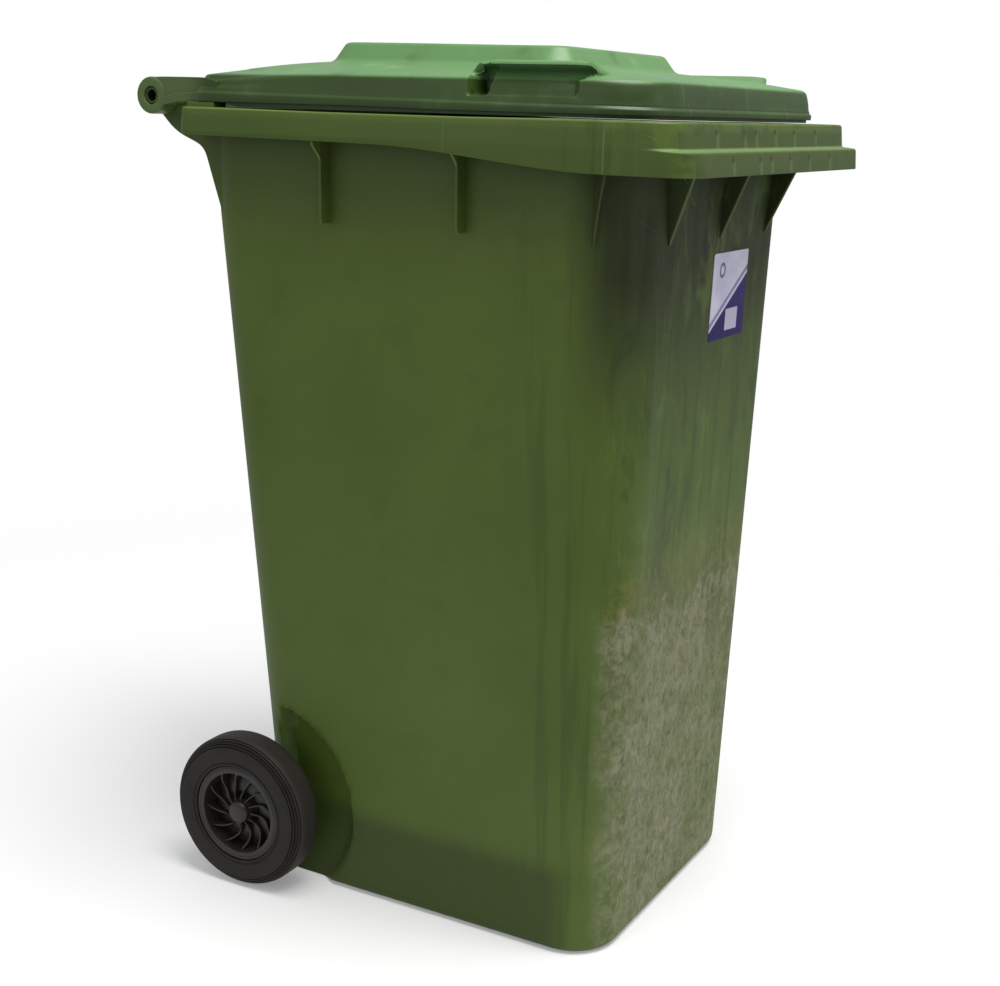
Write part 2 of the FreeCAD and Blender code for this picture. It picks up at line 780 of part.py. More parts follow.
def make_axle():
    """The steel axle, chamfered at its ends and grooved for the wheel locks."""
    body = new_body("axle")
    radius, chamfer = dim("axle_radius"), dim("axle_chamfer")
    end = dim("wheel_outer_x") - dim("hub_inset") - dim("hub_cap_thickness") - dim("axle_end_gap")
    middle = dim("wheel_outer_x") - dim("latch_setback")
    half_groove = dim("latch_groove_width") / 2
    half = [
        (end, 0),
        (end, radius - chamfer),
        (end - chamfer, radius),
        (middle + half_groove, radius),
        (middle + half_groove, dim("latch_groove_radius")),
        (middle - half_groove, dim("latch_groove_radius")),
        (middle - half_groove, radius),
    ]
    corners = half + [(-x, r) for x, r in reversed(half)]
    revolved(body, "axle_outline", corners)
    return place(body, x=0, y=dim("axle_y"), z=dim("wheel_radius"))


def wheel_place(body, sign):
    """Puts a wheel piece, made about X with its outer side towards +X, on its own side."""
    body.Placement = Placement(Vector(), FLAT if sign > 0 else HALF_TURN)
    middle = dim("wheel_outer_x") - dim("wheel_width") / 2
    return place(body, x=middle * sign, y=dim("axle_y"), z=dim("wheel_radius"))


def make_tyre(side, sign):
    """The solid rubber tyre, with rounded shoulders."""
    body = new_body(f"tyre_{side}")
    half, radius, shoulder = dim("wheel_width") / 2, dim("wheel_radius"), dim("tyre_shoulder")
    bore = dim("tyre_bore_radius")
    corners = [
        (-half, bore),
        (-half, radius - shoulder),
        (-half + shoulder * ROUND_SHARE, radius - shoulder * ROUND_SHARE),
        (-half + shoulder, radius),
        (half - shoulder, radius),
        (half - shoulder * ROUND_SHARE, radius - shoulder * ROUND_SHARE),
        (half, radius - shoulder),
        (half, bore),
    ]
    revolved(body, f"tyre_outline_{side}", corners)
    return wheel_place(body, sign)


def latch_x():
    """Where the wheel lock sits along the wheel's own axis."""
    return dim("wheel_width") / 2 - dim("latch_setback")


def make_wheel_rim(side, sign):
    """The moulded wheel centre: ring, dished spoke disc and blind hub with the lock's pocket."""
    body = new_body(f"wheel_rim_{side}")
    half = dim("wheel_width") / 2
    ring, outer, hub = dim("rim_ring_radius"), dim("tyre_bore_radius"), dim("hub_radius")
    bore = dim("axle_radius") + dim("hub_bore_clearance")
    side_x = dim("rim_ring_width") / 2
    disc_outer = half - dim("spoke_disc_setback")
    disc_inner = disc_outer - dim("spoke_disc_thickness")
    hub_end, chamfer = half - dim("hub_inset"), dim("hub_chamfer")
    corners = [
        (hub_end, 0),
        (hub_end, hub - chamfer),
        (hub_end - chamfer, hub),
        (disc_outer, hub),
        (disc_outer, ring),
        (side_x, ring),
        (side_x, outer),
        (-side_x, outer),
        (-side_x, ring),
        (disc_inner, ring),
        (disc_inner, hub),
        (-hub_end, hub),
        (-hub_end, bore),
        (hub_end - dim("hub_cap_thickness"), bore),
        (hub_end - dim("hub_cap_thickness"), 0),
    ]
    revolved(body, f"rim_outline_{side}", corners)
    doc.recompute()
    margin, root = dim("window_margin"), dim("window_root_half")
    window = outline(body_sketch(body, f"spoke_window_{side}", "YZ_Plane"), [
        (hub + margin, -root),
        (ring - margin, dim("window_tip_low")),
        (ring - margin, dim("window_tip_high")),
        (hub + margin, root),
    ])
    opening = body.newObject("PartDesign::Pocket", f"spoke_opening_{side}")
    opening.Profile = window
    opening.Type = "ThroughAll"
    opening.Midplane = True
    doc.recompute()
    ring_of_windows = body.newObject("PartDesign::PolarPattern", f"spoke_openings_{side}")
    ring_of_windows.Originals = [opening]
    axis = [item for item in body.Origin.OriginFeatures if item.Role == "X_Axis"][0]
    ring_of_windows.Axis = (axis, [""])
    ring_of_windows.Angle = 360
    bind(ring_of_windows, Occurrences=dim("spoke_count"))
    body.Tip = ring_of_windows
    doc.recompute()
    pocket_sketch = circle(body_sketch(body, f"lock_pocket_{side}", "XY_Plane"),
                           dim("latch_pin_radius") + dim("latch_clearance"), x=latch_x())
    pocket = body.newObject("PartDesign::Pocket", f"lock_pocket_cut_{side}")
    pocket.Profile = pocket_sketch
    pocket.Reversed = True
    bind(pocket, Length=hub + 1)
    body.Tip = pocket
    return wheel_place(body, sign)


def lock_piece(body, sign, corners):
    """Turns a piece of the wheel lock about its own upright axis and puts it above the axle."""
    sketch = outline(body_sketch(body, body.Name + "_outline", "XZ_Plane"), corners)
    turn = body.newObject("PartDesign::Revolution", body.Name + "_turn")
    turn.Profile = sketch
    turn.ReferenceAxis = (sketch, ["V_Axis"])
    turn.Angle = 360
    return lock_place(body, sign)


def lock_place(thing, sign):
    """Puts a piece that stands on the origin over the axle, inside the hub's pocket."""
    middle = dim("wheel_outer_x") - dim("latch_setback")
    return place(thing, x=middle * sign, y=dim("axle_y"), z=dim("wheel_radius"))


def make_latch_pin(side, sign):
    """The lock's pin: a short plunger whose rounded tip hangs in the axle's groove."""
    radius, tip, length = dim("latch_pin_radius"), dim("latch_tip_radius"), dim("latch_pin_length")
    corners = [(0, tip), (radius - 1, tip), (radius, tip + 1), (radius, tip + length),
               (0, tip + length)]
    return lock_piece(new_body(f"latch_pin_{side}"), sign, corners)


def make_latch_plug(side, sign):
    """The plug that closes the lock's pocket over the spring."""
    radius = dim("latch_pin_radius") + dim("latch_clearance")
    top = dim("hub_radius") - dim("latch_plug_inset")
    low = top - dim("latch_plug_thickness")
    corners = [(0, low), (radius, low), (radius, top), (0, top)]
    return lock_piece(new_body(f"latch_plug_{side}"), sign, corners)


def make_latch_spring(side, sign):
    """The coil spring between the lock's pin and its plug."""
    wire, coil = dim("latch_spring_wire"), dim("latch_spring_coil") - dim("latch_spring_wire")
    low = dim("latch_tip_radius") + dim("latch_pin_length") + dim("latch_spring_seat")
    plug_top = dim("hub_radius") - dim("latch_plug_inset")
    high = plug_top - dim("latch_plug_thickness") - dim("latch_spring_seat")
    height = high - low - wire * 2
    helix = feature("Part::Helix", f"spring_path_{side}", SegmentLength=1.0)
    bind(helix, Radius=coil, Height=height, Pitch=height / dim("latch_spring_turns"))
    ring = circle(free_sketch(f"spring_wire_{side}", ACROSS_Y), wire, x=coil)
    doc.recompute()
    spring = feature("Part::Sweep", f"latch_spring_{side}", Sections=[ring], Spine=(helix, []),
                     Solid=True, Frenet=True)
    lock_place(spring, sign)
    bind(spring, Placement__Base__z=dim("wheel_radius") + low + wire)
    return spring


def make_label():
    """A thin data label stuck on the front wall, leaning with it."""
    body = new_body("label")
    half, height = dim("label_width") / 2, dim("label_height")
    sketch = rounded(body_sketch(body, "label_outline", "XZ_Plane"), half, -height / 2,
                     height / 2, dim("label_corner"), dim("label_corner"))
    pad = body.newObject("PartDesign::Pad", "label_pad")
    pad.Profile = sketch
    bind(pad, Length=dim("label_thickness"))
    rise, level = dim("shoulder_height"), dim("label_centre_height")
    lean = (dim("base_front_y") - dim("shoulder_front_y")) / rise
    body.Placement = Placement(Vector(), Rotation(Vector(1, 0, 0), 1))
    body.setExpression("Placement.Rotation.Angle", f"atan({lean.text})")
    return place(body, x=dim("label_x"), y=dim("base_front_y") - lean * level, z=level)


# ---- the whole bin --------------------------------------------------------------------------


def build():
    """Makes every piece and returns them by node name."""
    pieces = {"tub": make_tub(), "lid": make_lid(), "axle": make_axle(), "label": make_label()}
    makers = {
        "hinge_pin": make_hinge_pin,
        "tyre": make_tyre,
        "wheel_rim": make_wheel_rim,
        "latch_pin": make_latch_pin,
        "latch_spring": make_latch_spring,
        "latch_plug": make_latch_plug,
    }
    for side, sign in (("left", -1), ("right", 1)):
        for name, make in makers.items():
            pieces[f"{name}_{side}"] = make(side, sign)
    return pieces


def check(pieces):
    """Stops if any object failed or any piece isn't one valid closed solid."""
    failed = [item.Name for item in doc.Objects if {"Invalid", "Error"} & set(item.State)]
    if failed:
        raise RuntimeError(f"objects that failed: {failed}")
    for name, piece in pieces.items():
        shape = piece.Shape
        if shape.isNull() or not shape.isValid() or len(shape.Solids) != 1:
            raise RuntimeError(f"{name} isn't one valid solid")


nodes = build()
doc.recompute()
check(nodes)
os.makedirs("parts", exist_ok=True)
for node, piece in nodes.items():
    piece.Label = node
    piece.Shape.exportStep(os.path.join("parts", node + ".step"))
    box = piece.Shape.BoundBox
    print(f"{node:20s} {piece.Shape.Volume / 1000:10.2f} cm3"
          f"  x {box.XMin:8.2f} {box.XMax:8.2f}  y {box.YMin:8.2f} {box.YMax:8.2f}"
          f"  z {box.ZMin:8.2f} {box.ZMax:8.2f}")
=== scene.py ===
import math

import bpy
import numpy as np
from mathutils import Matrix, Vector


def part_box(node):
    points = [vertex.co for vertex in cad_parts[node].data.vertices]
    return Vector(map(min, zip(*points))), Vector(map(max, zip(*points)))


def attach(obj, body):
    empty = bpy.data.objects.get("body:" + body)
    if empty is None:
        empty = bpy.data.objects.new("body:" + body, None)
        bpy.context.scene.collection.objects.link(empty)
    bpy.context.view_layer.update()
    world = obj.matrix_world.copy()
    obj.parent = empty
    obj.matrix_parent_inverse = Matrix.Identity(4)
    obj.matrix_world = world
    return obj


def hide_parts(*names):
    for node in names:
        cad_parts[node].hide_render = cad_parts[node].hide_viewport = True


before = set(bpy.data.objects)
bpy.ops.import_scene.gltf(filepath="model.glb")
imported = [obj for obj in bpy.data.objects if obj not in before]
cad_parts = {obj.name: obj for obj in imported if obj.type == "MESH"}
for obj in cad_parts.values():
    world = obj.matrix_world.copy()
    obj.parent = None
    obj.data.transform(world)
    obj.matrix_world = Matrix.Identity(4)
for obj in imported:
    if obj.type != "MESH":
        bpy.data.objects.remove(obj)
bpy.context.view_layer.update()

MM = 0.001
SIDES = (("left", -1), ("right", 1))

# sizes that the CAD part gives, in millimetres; HINGE and AXLE are lines along X, as (y, z)
RIM_HALF_WIDTH = 290.0
RIM_TOP = 980.5
COLLAR_HEIGHT = 926.0
STEP_HEIGHT = 953.0
HINGE = (342.5, 992.0)
AXLE = (217.0, 100.0)
LUG_OUTER_X = 241.0


# ---- mesh tools: every shape is a (points, faces) pair in millimetres ----


def smooth(value, low, high):
    """0 up to low, 1 from high on, and the S curve t*t*(3 - 2t) between them."""
    t = np.clip((value - low) / (high - low), 0.0, 1.0)
    return t * t * (3.0 - 2.0 * t)


def quads(rows, columns):
    """The corners of every quad of a grid of points, with the last column joined to the first."""
    row = np.arange(rows - 1)[:, None]
    column = np.arange(columns)[None, :]
    after = (column + 1) % columns
    corners = [row * columns + column, row * columns + after,
               (row + 1) * columns + after, (row + 1) * columns + column]
    return np.stack(np.broadcast_arrays(*corners), -1).reshape(-1, 4).tolist()


def tube_of(grid, last_cap=True):
    """A closed shape from rings of points: the quads between rings, and a face over each end."""
    rows, columns = grid.shape[:2]
    faces = [*quads(rows, columns), list(range(columns))[::-1]]
    if last_cap:
        faces.append(list(range((rows - 1) * columns, rows * columns)))
    return grid.reshape(-1, 3), faces


def ring_of(grid):
    """A shape closed in both directions, as a torus is."""
    rows, columns = grid.shape[:2]
    closed = quads(rows + 1, columns)
    return grid.reshape(-1, 3), (np.array(closed) % (rows * columns)).tolist()


def joined(*shapes):
    """Several shapes as one."""
    points, faces, count = [], [], 0
    for shape_points, shape_faces in shapes:
        points.append(shape_points)
        faces += [[corner + count for corner in face] for face in shape_faces]
        count += len(shape_points)
    return np.concatenate(points), faces


def turned_over(shape):
    """The shape with every face's corners in reverse order, so that it looks the other way."""
    points, faces = shape
    return points, [face[::-1] for face in faces]


def mirrored(shape):
    """The shape's mirror image across x = 0, with its faces still outward."""
    points, faces = turned_over(shape)
    return points * (-1, 1, 1), faces


def both_sides(*shapes):
    """The shapes together with their mirror images."""
    whole = joined(*shapes)
    return joined(whole, mirrored(whole))


def rounded_path(stops, cuts, steps):
    """A path through the stops whose inner corners are quadratic curves.

    Each corner P is left at P + (A - P)*c and met again at P + (B - P)*c', where c and c' take the
    cut length off its two legs; between them the point is the Bezier curve of the three.
    """
    stops = np.asarray(stops, float)
    path = [stops[:1]]
    share = np.linspace(0, 1, steps + 1)[:, None]
    for before, corner, after, cut in zip(stops, stops[1:], stops[2:], cuts):
        if not cut:
            path.append(corner[None])
            continue
        legs = []
        for other in (before, after):
            length = max(np.abs(other - corner).max(), 1e-6)
            legs.append(corner + (other - corner) * min(cut / length, 0.48))
        path.append((1 - share) ** 2 * legs[0] + 2 * share * (1 - share) * corner
                    + share ** 2 * legs[1])
    path.append(stops[-1:])
    return np.concatenate(path)


def evened(path, count):
    """The same path with that many points at equal distances along it."""
    length = np.r_[0, np.cumsum(np.linalg.norm(np.diff(path, axis=0), axis=1))]
    at = np.linspace(0, length[-1], count)
    return np.stack([np.interp(at, length, path[:, axis]) for axis in range(path.shape[1])], -1)


def plate(corners, start, thickness, axis="x"):
    """A flat outline carried straight along an axis: (y, z) corners along x, (x, z) along y."""
    corners = np.asarray(corners, float)
    area = np.sum(corners[:, 0] * np.roll(corners[:, 1], -1)
                  - corners[:, 1] * np.roll(corners[:, 0], -1))
    if (area < 0) == (axis == "x"):
        corners = corners[::-1]
    along = np.array([start, start + thickness])[:, None] * np.ones(len(corners))
    flat = np.broadcast_to(corners, (2, *corners.shape))
    order = [flat[..., 0], flat[..., 1]]
    order.insert(0 if axis == "x" else 1, along)
    return tube_of(np.stack(order, -1))


def rings_round(profile, centre, segments):
    """Rings of points: each (x, radius) of the profile at every angle about the line at centre."""
    profile = np.asarray(profile, float)
    angle = np.linspace(0, 2 * math.pi, segments, endpoint=False)
    x = np.broadcast_to(profile[:, :1], (len(profile), segments))
    y = centre[0] + profile[:, 1:] * np.cos(angle)
    z = centre[1] + profile[:, 1:] * np.sin(angle)
    return np.stack([x, y, z], -1)


def turned(profile, centre, segments=96):
    """A closed (x, radius) profile carried round a full turn about the line at centre (y, z)."""
    profile = np.asarray(profile, float)
    shape = ring_of(rings_round(profile, centre, segments))
    signed = np.sum(profile[:, 0] * np.roll(profile[:, 1], -1)
                    - profile[:, 1] * np.roll(profile[:, 0], -1))
    return shape if signed > 0 else turned_over(shape)


def rounded_loop(stops, cuts, steps):
    """A closed run through the stops, with every corner but the first one rounded."""
    return rounded_path([*stops, stops[0]], cuts, steps)[:-1]


def sleeve(start, end, bore, radius, cuts, steps, centre):
    """A round sleeve along X: a four-cornered profile with rounded rims, carried round."""
    stops = [(start, bore), (start, radius), (end, radius), (end, bore)]
    return turned(rounded_loop(stops, cuts, steps), centre)


def drawn(value, target, share):
    """The value moved that share of the way to its target."""
    return value + (target - value) * share


def mesh_of(name, shape, finish):
    """A smooth-shaded mesh, in metres, with its finish."""
    points, faces = shape
    mesh = bpy.data.meshes.new(name)
    mesh.from_pydata((points * MM).tolist(), [], faces)
    mesh.validate()
    mesh.shade_smooth()
    mesh.materials.append(finish)
    return mesh


def linked(name, data):
    """A new object in the scene, with that data."""
    item = bpy.data.objects.new(name, data)
    bpy.context.scene.collection.objects.link(item)
    return item


def piece(name, shape, body, slot, finish, nodes, bevel=0.0, crease=34.0):
    """The shape as an object that rides on a body and stands for its nodes, with its finish."""
    mesh = mesh_of(name, shape, finish)
    mesh.set_sharp_from_angle(angle=math.radians(crease))
    item = linked(name, mesh)
    if bevel:
        rounding = item.modifiers.new("edges", "BEVEL")
        rounding.width = bevel * MM
        rounding.segments = 2
        rounding.limit_method = "ANGLE"
        rounding.angle_limit = math.radians(35)
        rounding.harden_normals = True
    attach(item, body)
    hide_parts(*nodes)


# ---- finishes: node graphs written as sums ----


class Wire:
    """An output socket that takes part in sums: every sign and method adds a Math node."""

    def __init__(self, graph, socket):
        self.graph = graph
        self.socket = socket

    def math(self, operation, *others):
        return self.graph.node("ShaderNodeMath", {"operation": operation},
                               dict(enumerate([self, *others])))[0]

    def swapped(self, operation, other):
        return self.graph.node("ShaderNodeMath", {"operation": operation},
                               {0: other, 1: self})[0]

    def __abs__(self):
        return self.math("ABSOLUTE")

    def lowest(self, other):
        return self.math("MINIMUM", other)

    def highest(self, other):
        return self.math("MAXIMUM", other)

    def held(self):
        return self.highest(0).lowest(1)

    def line(self, width):
        """1 where the value is 0, falling to 0 where it is width or more to either side."""
        return (1 - abs(self) / width).held()

    def rise(self, low, high):
        """0 up to low and 1 from high on, along an S curve; with high under low it falls."""
        settings = {"interpolation_type": "SMOOTHSTEP"}
        inputs = {"Value": self, "From Min": low, "From Max": high, "To Min": 0, "To Max": 1}
        return self.graph.node("ShaderNodeMapRange", settings, inputs)[0]


for word, operation in (("add", "ADD"), ("sub", "SUBTRACT"), ("mul", "MULTIPLY"),
                        ("truediv", "DIVIDE"), ("pow", "POWER")):
    setattr(Wire, f"__{word}__", lambda self, other, kind=operation: self.math(kind, other))
    setattr(Wire, f"__r{word}__", lambda self, other, kind=operation: self.swapped(kind, other))


class Node:
    """A node whose outputs are read as wires, by number or by name."""

    def __init__(self, graph, item):
        self.graph = graph
        self.item = item

    def __getitem__(self, key):
        return Wire(self.graph, self.item.outputs[key])


class Finish:
    """A material under construction."""

    def __init__(self, name):
        self.material = bpy.data.materials.new(name)
        self.material.use_nodes = True
        self.tree = self.material.node_tree
        self.tree.nodes.clear()
        self.place = self.node("ShaderNodeTexCoord")["Object"]
        split = self.node("ShaderNodeSeparateXYZ", {}, {0: self.place})
        self.x, self.y, self.z = split[0], split[1], split[2]

    def node(self, kind, settings=None, inputs=None):
        """A node of that kind: its settings first, then a value or a link for each socket."""
        item = self.tree.nodes.new(kind)
        for key, value in (settings or {}).items():
            setattr(item, key, value)
        for key, value in (inputs or {}).items():
            if isinstance(value, Wire):
                self.tree.links.new(value.socket, item.inputs[key])
            else:
                item.inputs[key].default_value = value
        return Node(self, item)

    def noise(self, scale, stretch=(1, 1, 1), detail=4, rough=0.55, shift=(0, 0, 0), warp=0):
        """Cloudy values about 0.5, with the place stretched along each axis first."""
        placed = self.node("ShaderNodeMapping", {},
                           {"Vector": self.place, "Scale": stretch, "Location": shift})[0]
        inputs = {"Vector": placed, "Scale": scale, "Detail": detail, "Roughness": rough,
                  "Distortion": warp}
        return self.node("ShaderNodeTexNoise", {}, inputs)["Fac"]

    def cells(self, scale, stretch):
        """The distance to the nearest edge in a pattern of irregular cells."""
        placed = self.node("ShaderNodeMapping", {}, {"Vector": self.place, "Scale": stretch})[0]
        return self.node("ShaderNodeTexVoronoi", {"feature": "DISTANCE_TO_EDGE"},
                         {"Vector": placed, "Scale": scale})["Distance"]

    def mix(self, first, second, share):
        """The first colour turning into the second as share goes from 0 to 1."""
        colours = {0: share}
        for key, colour in ((6, first), (7, second)):
            colours[key] = colour if isinstance(colour, Wire) else (*colour, 1)
        return self.node("ShaderNodeMix", {"data_type": "RGBA"}, colours)[2]

    def ground(self, first, second, share):
        """Starts the finish's colour: one tint turning into another."""
        self.colour = self.mix(linear(*first), linear(*second), share)

    def wash(self, tint, share):
        """Lays a tint over the finish's colour, none where share is 0 and all of it at 1."""
        self.colour = self.mix(self.colour, linear(*tint), share)

    def spot(self, across, up, at, size):
        """1 at the middle of an oval spot, falling to 0 at its edge."""
        u, v = (across - at[0]) / size[0], (up - at[1]) / size[1]
        return (1 - (u * u + v * v)).held()

    def close(self, rough, height, depth, metal=0, specular=0.5, alpha=1):
        """Ends the material with its shader, and gives the material; depth is in metres."""
        inputs = {"Base Color": self.colour, "Roughness": rough, "Metallic": metal,
                  "Specular IOR Level": specular, "Alpha": alpha}
        bump = self.node("ShaderNodeBump", {}, {"Height": height, "Distance": depth,
                                                "Strength": 1})
        inputs["Normal"] = bump[0]
        shader = self.node("ShaderNodeBsdfPrincipled", {}, inputs)
        self.node("ShaderNodeOutputMaterial", {}, {"Surface": shader[0]})
        return self.material


def linear(red, green, blue):
    """A tint, each part from 0 to 255, as the linear values that a shader takes."""
    return tuple(((c / 255 + 0.055) / 1.055) ** 2.4 if c > 10 else c / 255 / 12.92
                 for c in (red, green, blue))


def tub_finish():
    """Olive green moulded plastic: flow streaks at the corners, scuffs, a dusty front, painted
    shade and highlights.
    """
    f = Finish("tub_green")
    cloud = f.noise(2.2, detail=5, rough=0.6)
    mottle = f.noise(11, detail=6, rough=0.65, shift=(3.1, 0.4, 1.7))
    streak = f.noise(1, (58, 58, 1.9), detail=3, shift=(0.3, 2.2, 0))
    hair = f.noise(1, (240, 240, 7), detail=2)
    speck = f.noise(420, detail=2)
    f.ground((69, 87, 29), (79, 96, 38), cloud.rise(0.30, 0.70))
    f.wash((84, 102, 48), mottle.rise(0.52, 0.78) * 0.25)
    f.wash((56, 74, 24), mottle.rise(0.48, 0.24) * 0.35)
    wall = f.y.rise(-0.299, -0.293)
    # the moulding's flow streaks show on the front face and on the corners next to it; the pale
    # corner streaks also stand in for a painted highlight down the rounded front corners
    front = f.y.rise(-0.20, -0.262)
    flat_front = (f.y - (mottle - 0.5) * 0.03).rise(-0.242, -0.268)
    corner = front * abs(f.x).rise(0.10, 0.19)
    f.wash((92, 104, 74), streak.rise(0.55, 0.80) * corner * 0.45)
    f.wash((42, 52, 24), streak.rise(0.48, 0.22) * front * wall * 0.55)
    f.wash((96, 108, 76), hair.rise(0.66, 0.86) * 0.10)
    near = f.y.rise(-0.12, -0.20) * wall
    f.wash((52, 68, 24), streak.rise(0.50, 0.30) * near * 0.45)
    # painted shade: the wall just under the comb is darkened, and so is the collar under the skirt
    under = front * (f.z.rise(0.58, 0.86) * f.z.rise(0.9265, 0.9255)).held()
    under = (under * (0.78 + 0.7 * (streak - 0.5) + 0.5 * (mottle - 0.5))).held()
    f.wash((22, 25, 9), under)
    # green wash marks and smears over the front face
    smear = f.noise(17, (1, 1, 0.42), 6, 0.7, (5, 1, 2), 0.6)
    f.wash((92, 112, 50), smear.rise(0.52, 0.66) * flat_front * wall * 0.45)
    f.wash((36, 48, 15), smear.rise(0.48, 0.34) * flat_front * wall * 0.45)
    # painted shade: the rim skirt's outer face below its top edge is darkened
    rim_band_shade = abs(f.x).rise(0.2865, 0.2885) * f.z.rise(0.975, 0.969)
    f.wash((52, 74, 28), rim_band_shade * 0.45)
    # painted shadow: the collar under the rim skirt is darkened
    collar = f.z.rise(0.82, 0.93) * abs(f.x).rise(0.2725, 0.2715) * f.z.rise(0.975, 0.968)
    f.wash((46, 58, 28), collar * 0.5)
    # painted shade: the band next to the ground and the skin inside the wheel arches are darkened
    low = f.z.rise(0.128, 0.092) * f.y.rise(-0.238, -0.196) * (0.75 + 0.25 * streak)
    f.wash((40, 52, 20), low * 0.70)
    # dust on the lower front, above a ragged line
    grain = f.noise(90, (1, 1, 0.8), 6, 0.75, (0, 0, 0), 0.7)
    ragged = f.z - (mottle - 0.5) * 0.10 - (grain - 0.5) * 0.10 - (streak - 0.5) * 0.06
    edge = flat_front * ragged.rise(0.445, 0.395)
    dusty = edge * grain.rise(0.38, 0.66) * (0.50 + 0.45 * mottle.rise(0.35, 0.60))
    f.wash((104, 106, 76), edge * (0.35 + 0.45 * mottle.rise(0.38, 0.58)))
    f.wash((138, 137, 116), dusty * 0.75)
    fringe = flat_front * wall * ragged.rise(0.40, 0.43) * ragged.rise(0.50, 0.455)
    f.wash((104, 98, 42), fringe * grain.rise(0.42, 0.60) * 0.55)
    pits = grain.rise(0.44, 0.34) * edge
    f.wash((58, 66, 36), pits * 0.40)
    # fine crossing scuffs, as long broken lines
    scuffs = f.cells(7, (1, 1, 3.4)).rise(0.009, 0.002) * mottle.rise(0.54, 0.66)
    f.wash((104, 114, 84), scuffs * (0.05 + 0.28 * front))
    # painted highlight along the free edges of the webs
    web = f.z.rise(0.846, 0.850) * f.z.rise(0.9262, 0.9252)
    edge_line = (f.z - 0.848) * 0.41 + 0.2865 + f.y
    web_edge_highlight = edge_line.line(0.0022) * web * f.y.rise(-0.286, -0.288)
    f.wash((120, 138, 88), web_edge_highlight * (0.35 + 0.6 * mottle))
    # one long curved scratch across the lower front corner
    sweep = f.z - 0.105 - (abs(f.x) - 0.215) * (abs(f.x) - 0.215) * 4.5 + (f.y + 0.25) * 0.5
    scratch = sweep.line(0.0016) * flat_front * f.x.rise(-0.10, -0.13)
    f.wash((138, 146, 112), scratch * f.z.rise(0.20, 0.16) * 0.5)
    # sink marks in the comb above its webs, with a pale wash mark under each
    comb = f.y.rise(-0.330, -0.338)
    marks, washes = None, None
    for x in (-0.178, -0.096, -0.060, 0.004, 0.071, 0.150):
        for z in (0.971, 0.943):
            mark = f.spot(f.x, f.z, (x, z), (0.006, 0.0040))
            wash = f.spot(f.x, f.z, (x + 0.004, z - 0.010), (0.006, 0.014))
            marks = mark if marks is None else marks.highest(mark)
            washes = wash if washes is None else washes.highest(wash)
    f.wash((104, 128, 82), washes * comb * 0.30)
    f.wash((26, 36, 16), marks * comb * 0.75)
    blotch = f.noise(24, (1, 1, 1.4), 4).rise(0.50, 0.66) * comb * f.z.rise(0.925, 0.935)
    f.wash((44, 66, 22), blotch * 0.6)
    # painted highlights: a pale line along the comb's step and along the rim's upper edge
    lip = (f.z - 0.9525).line(0.0022) * f.y.rise(-0.300, -0.340)
    brim_highlight = (f.z - 0.9790).line(0.0016) * abs(f.x).rise(0.286, 0.2885)
    lip = lip.highest(brim_highlight * 0.6)
    f.wash((128, 156, 106), lip * 0.45)
    # parting lines of the mould across the skirt
    seam = (f.y + 0.266).line(0.0014) + (f.y + 0.077).line(0.0012) * 0.5
    skirt = abs(f.x).rise(0.2885, 0.2895) * f.z.rise(0.92, 0.925)
    f.wash((120, 134, 100), (seam * skirt).held() * 0.4)
    rough = (0.40 + 0.16 * mottle + 0.30 * edge + 0.12 * under + 0.08 * low).held()
    height = (0.5 * speck + 0.9 * hair * (0.3 + front) + 5 * cloud + 1.3 * mottle
              - 1.5 * scuffs + 0.8 * streak * front + 1.6 * grain * edge)
    return f.close(rough, height, depth=0.00012, specular=0.24)


def lid_finish():
    """The lid's green: glossier, with a painted sky reflection lightening its top, dry patches and
    fine scuffs.
    """
    f = Finish("lid_green")
    cloud = f.noise(3.4, detail=4)
    mottle = f.noise(16, detail=6, rough=0.62, shift=(1.1, 2, 0.4))
    speck = f.noise(420, detail=2)
    drag = f.noise(1, (34, 220, 60), detail=3)
    top = f.z.rise(1.0165, 1.0205)
    f.ground((36, 54, 16), (46, 68, 22), cloud.rise(0.3, 0.7))
    # painted sky reflection: the top faces above the ridge are lightened to a pale blue-green, and
    # the pale dry patches are strongest there
    f.wash((94, 137, 84), top * (0.50 + 0.4 * cloud))
    f.wash((122, 160, 114), mottle.rise(0.54, 0.80) * (0.12 + 0.30 * top))
    f.wash((34, 50, 18), mottle.rise(0.46, 0.22) * 0.40)
    f.wash((84, 104, 54), f.y.rise(0.245, 0.285) * 0.75)
    front = f.y.rise(-0.29, -0.316)
    drips = f.noise(1, (95, 30, 8), detail=3)
    f.wash((104, 126, 90), drips.rise(0.56, 0.78) * front * 0.45)
    f.wash((120, 146, 112), drag.rise(0.70, 0.88) * 0.18)
    rough = (0.27 + 0.20 * mottle + 0.06 * drag + 0.05 * front).held()
    height = 0.5 * speck + 4 * cloud + 1.2 * mottle + 0.5 * drag
    return f.close(rough, height, depth=0.0001, specular=0.36)


def pin_finish():
    """The hinge pins' darker green, with painted shade down the bore."""
    f = Finish("pin_green")
    grime = f.noise(160, detail=4)
    deep = abs(f.x).rise(0.2665, 0.262)
    f.ground((52, 66, 32), (66, 78, 44), grime.rise(0.35, 0.7))
    # painted shade: the pin is darkened down its bore
    f.wash((14, 15, 10), deep * 0.9)
    return f.close((0.4 + 0.3 * grime).held(), grime, depth=0.0001)


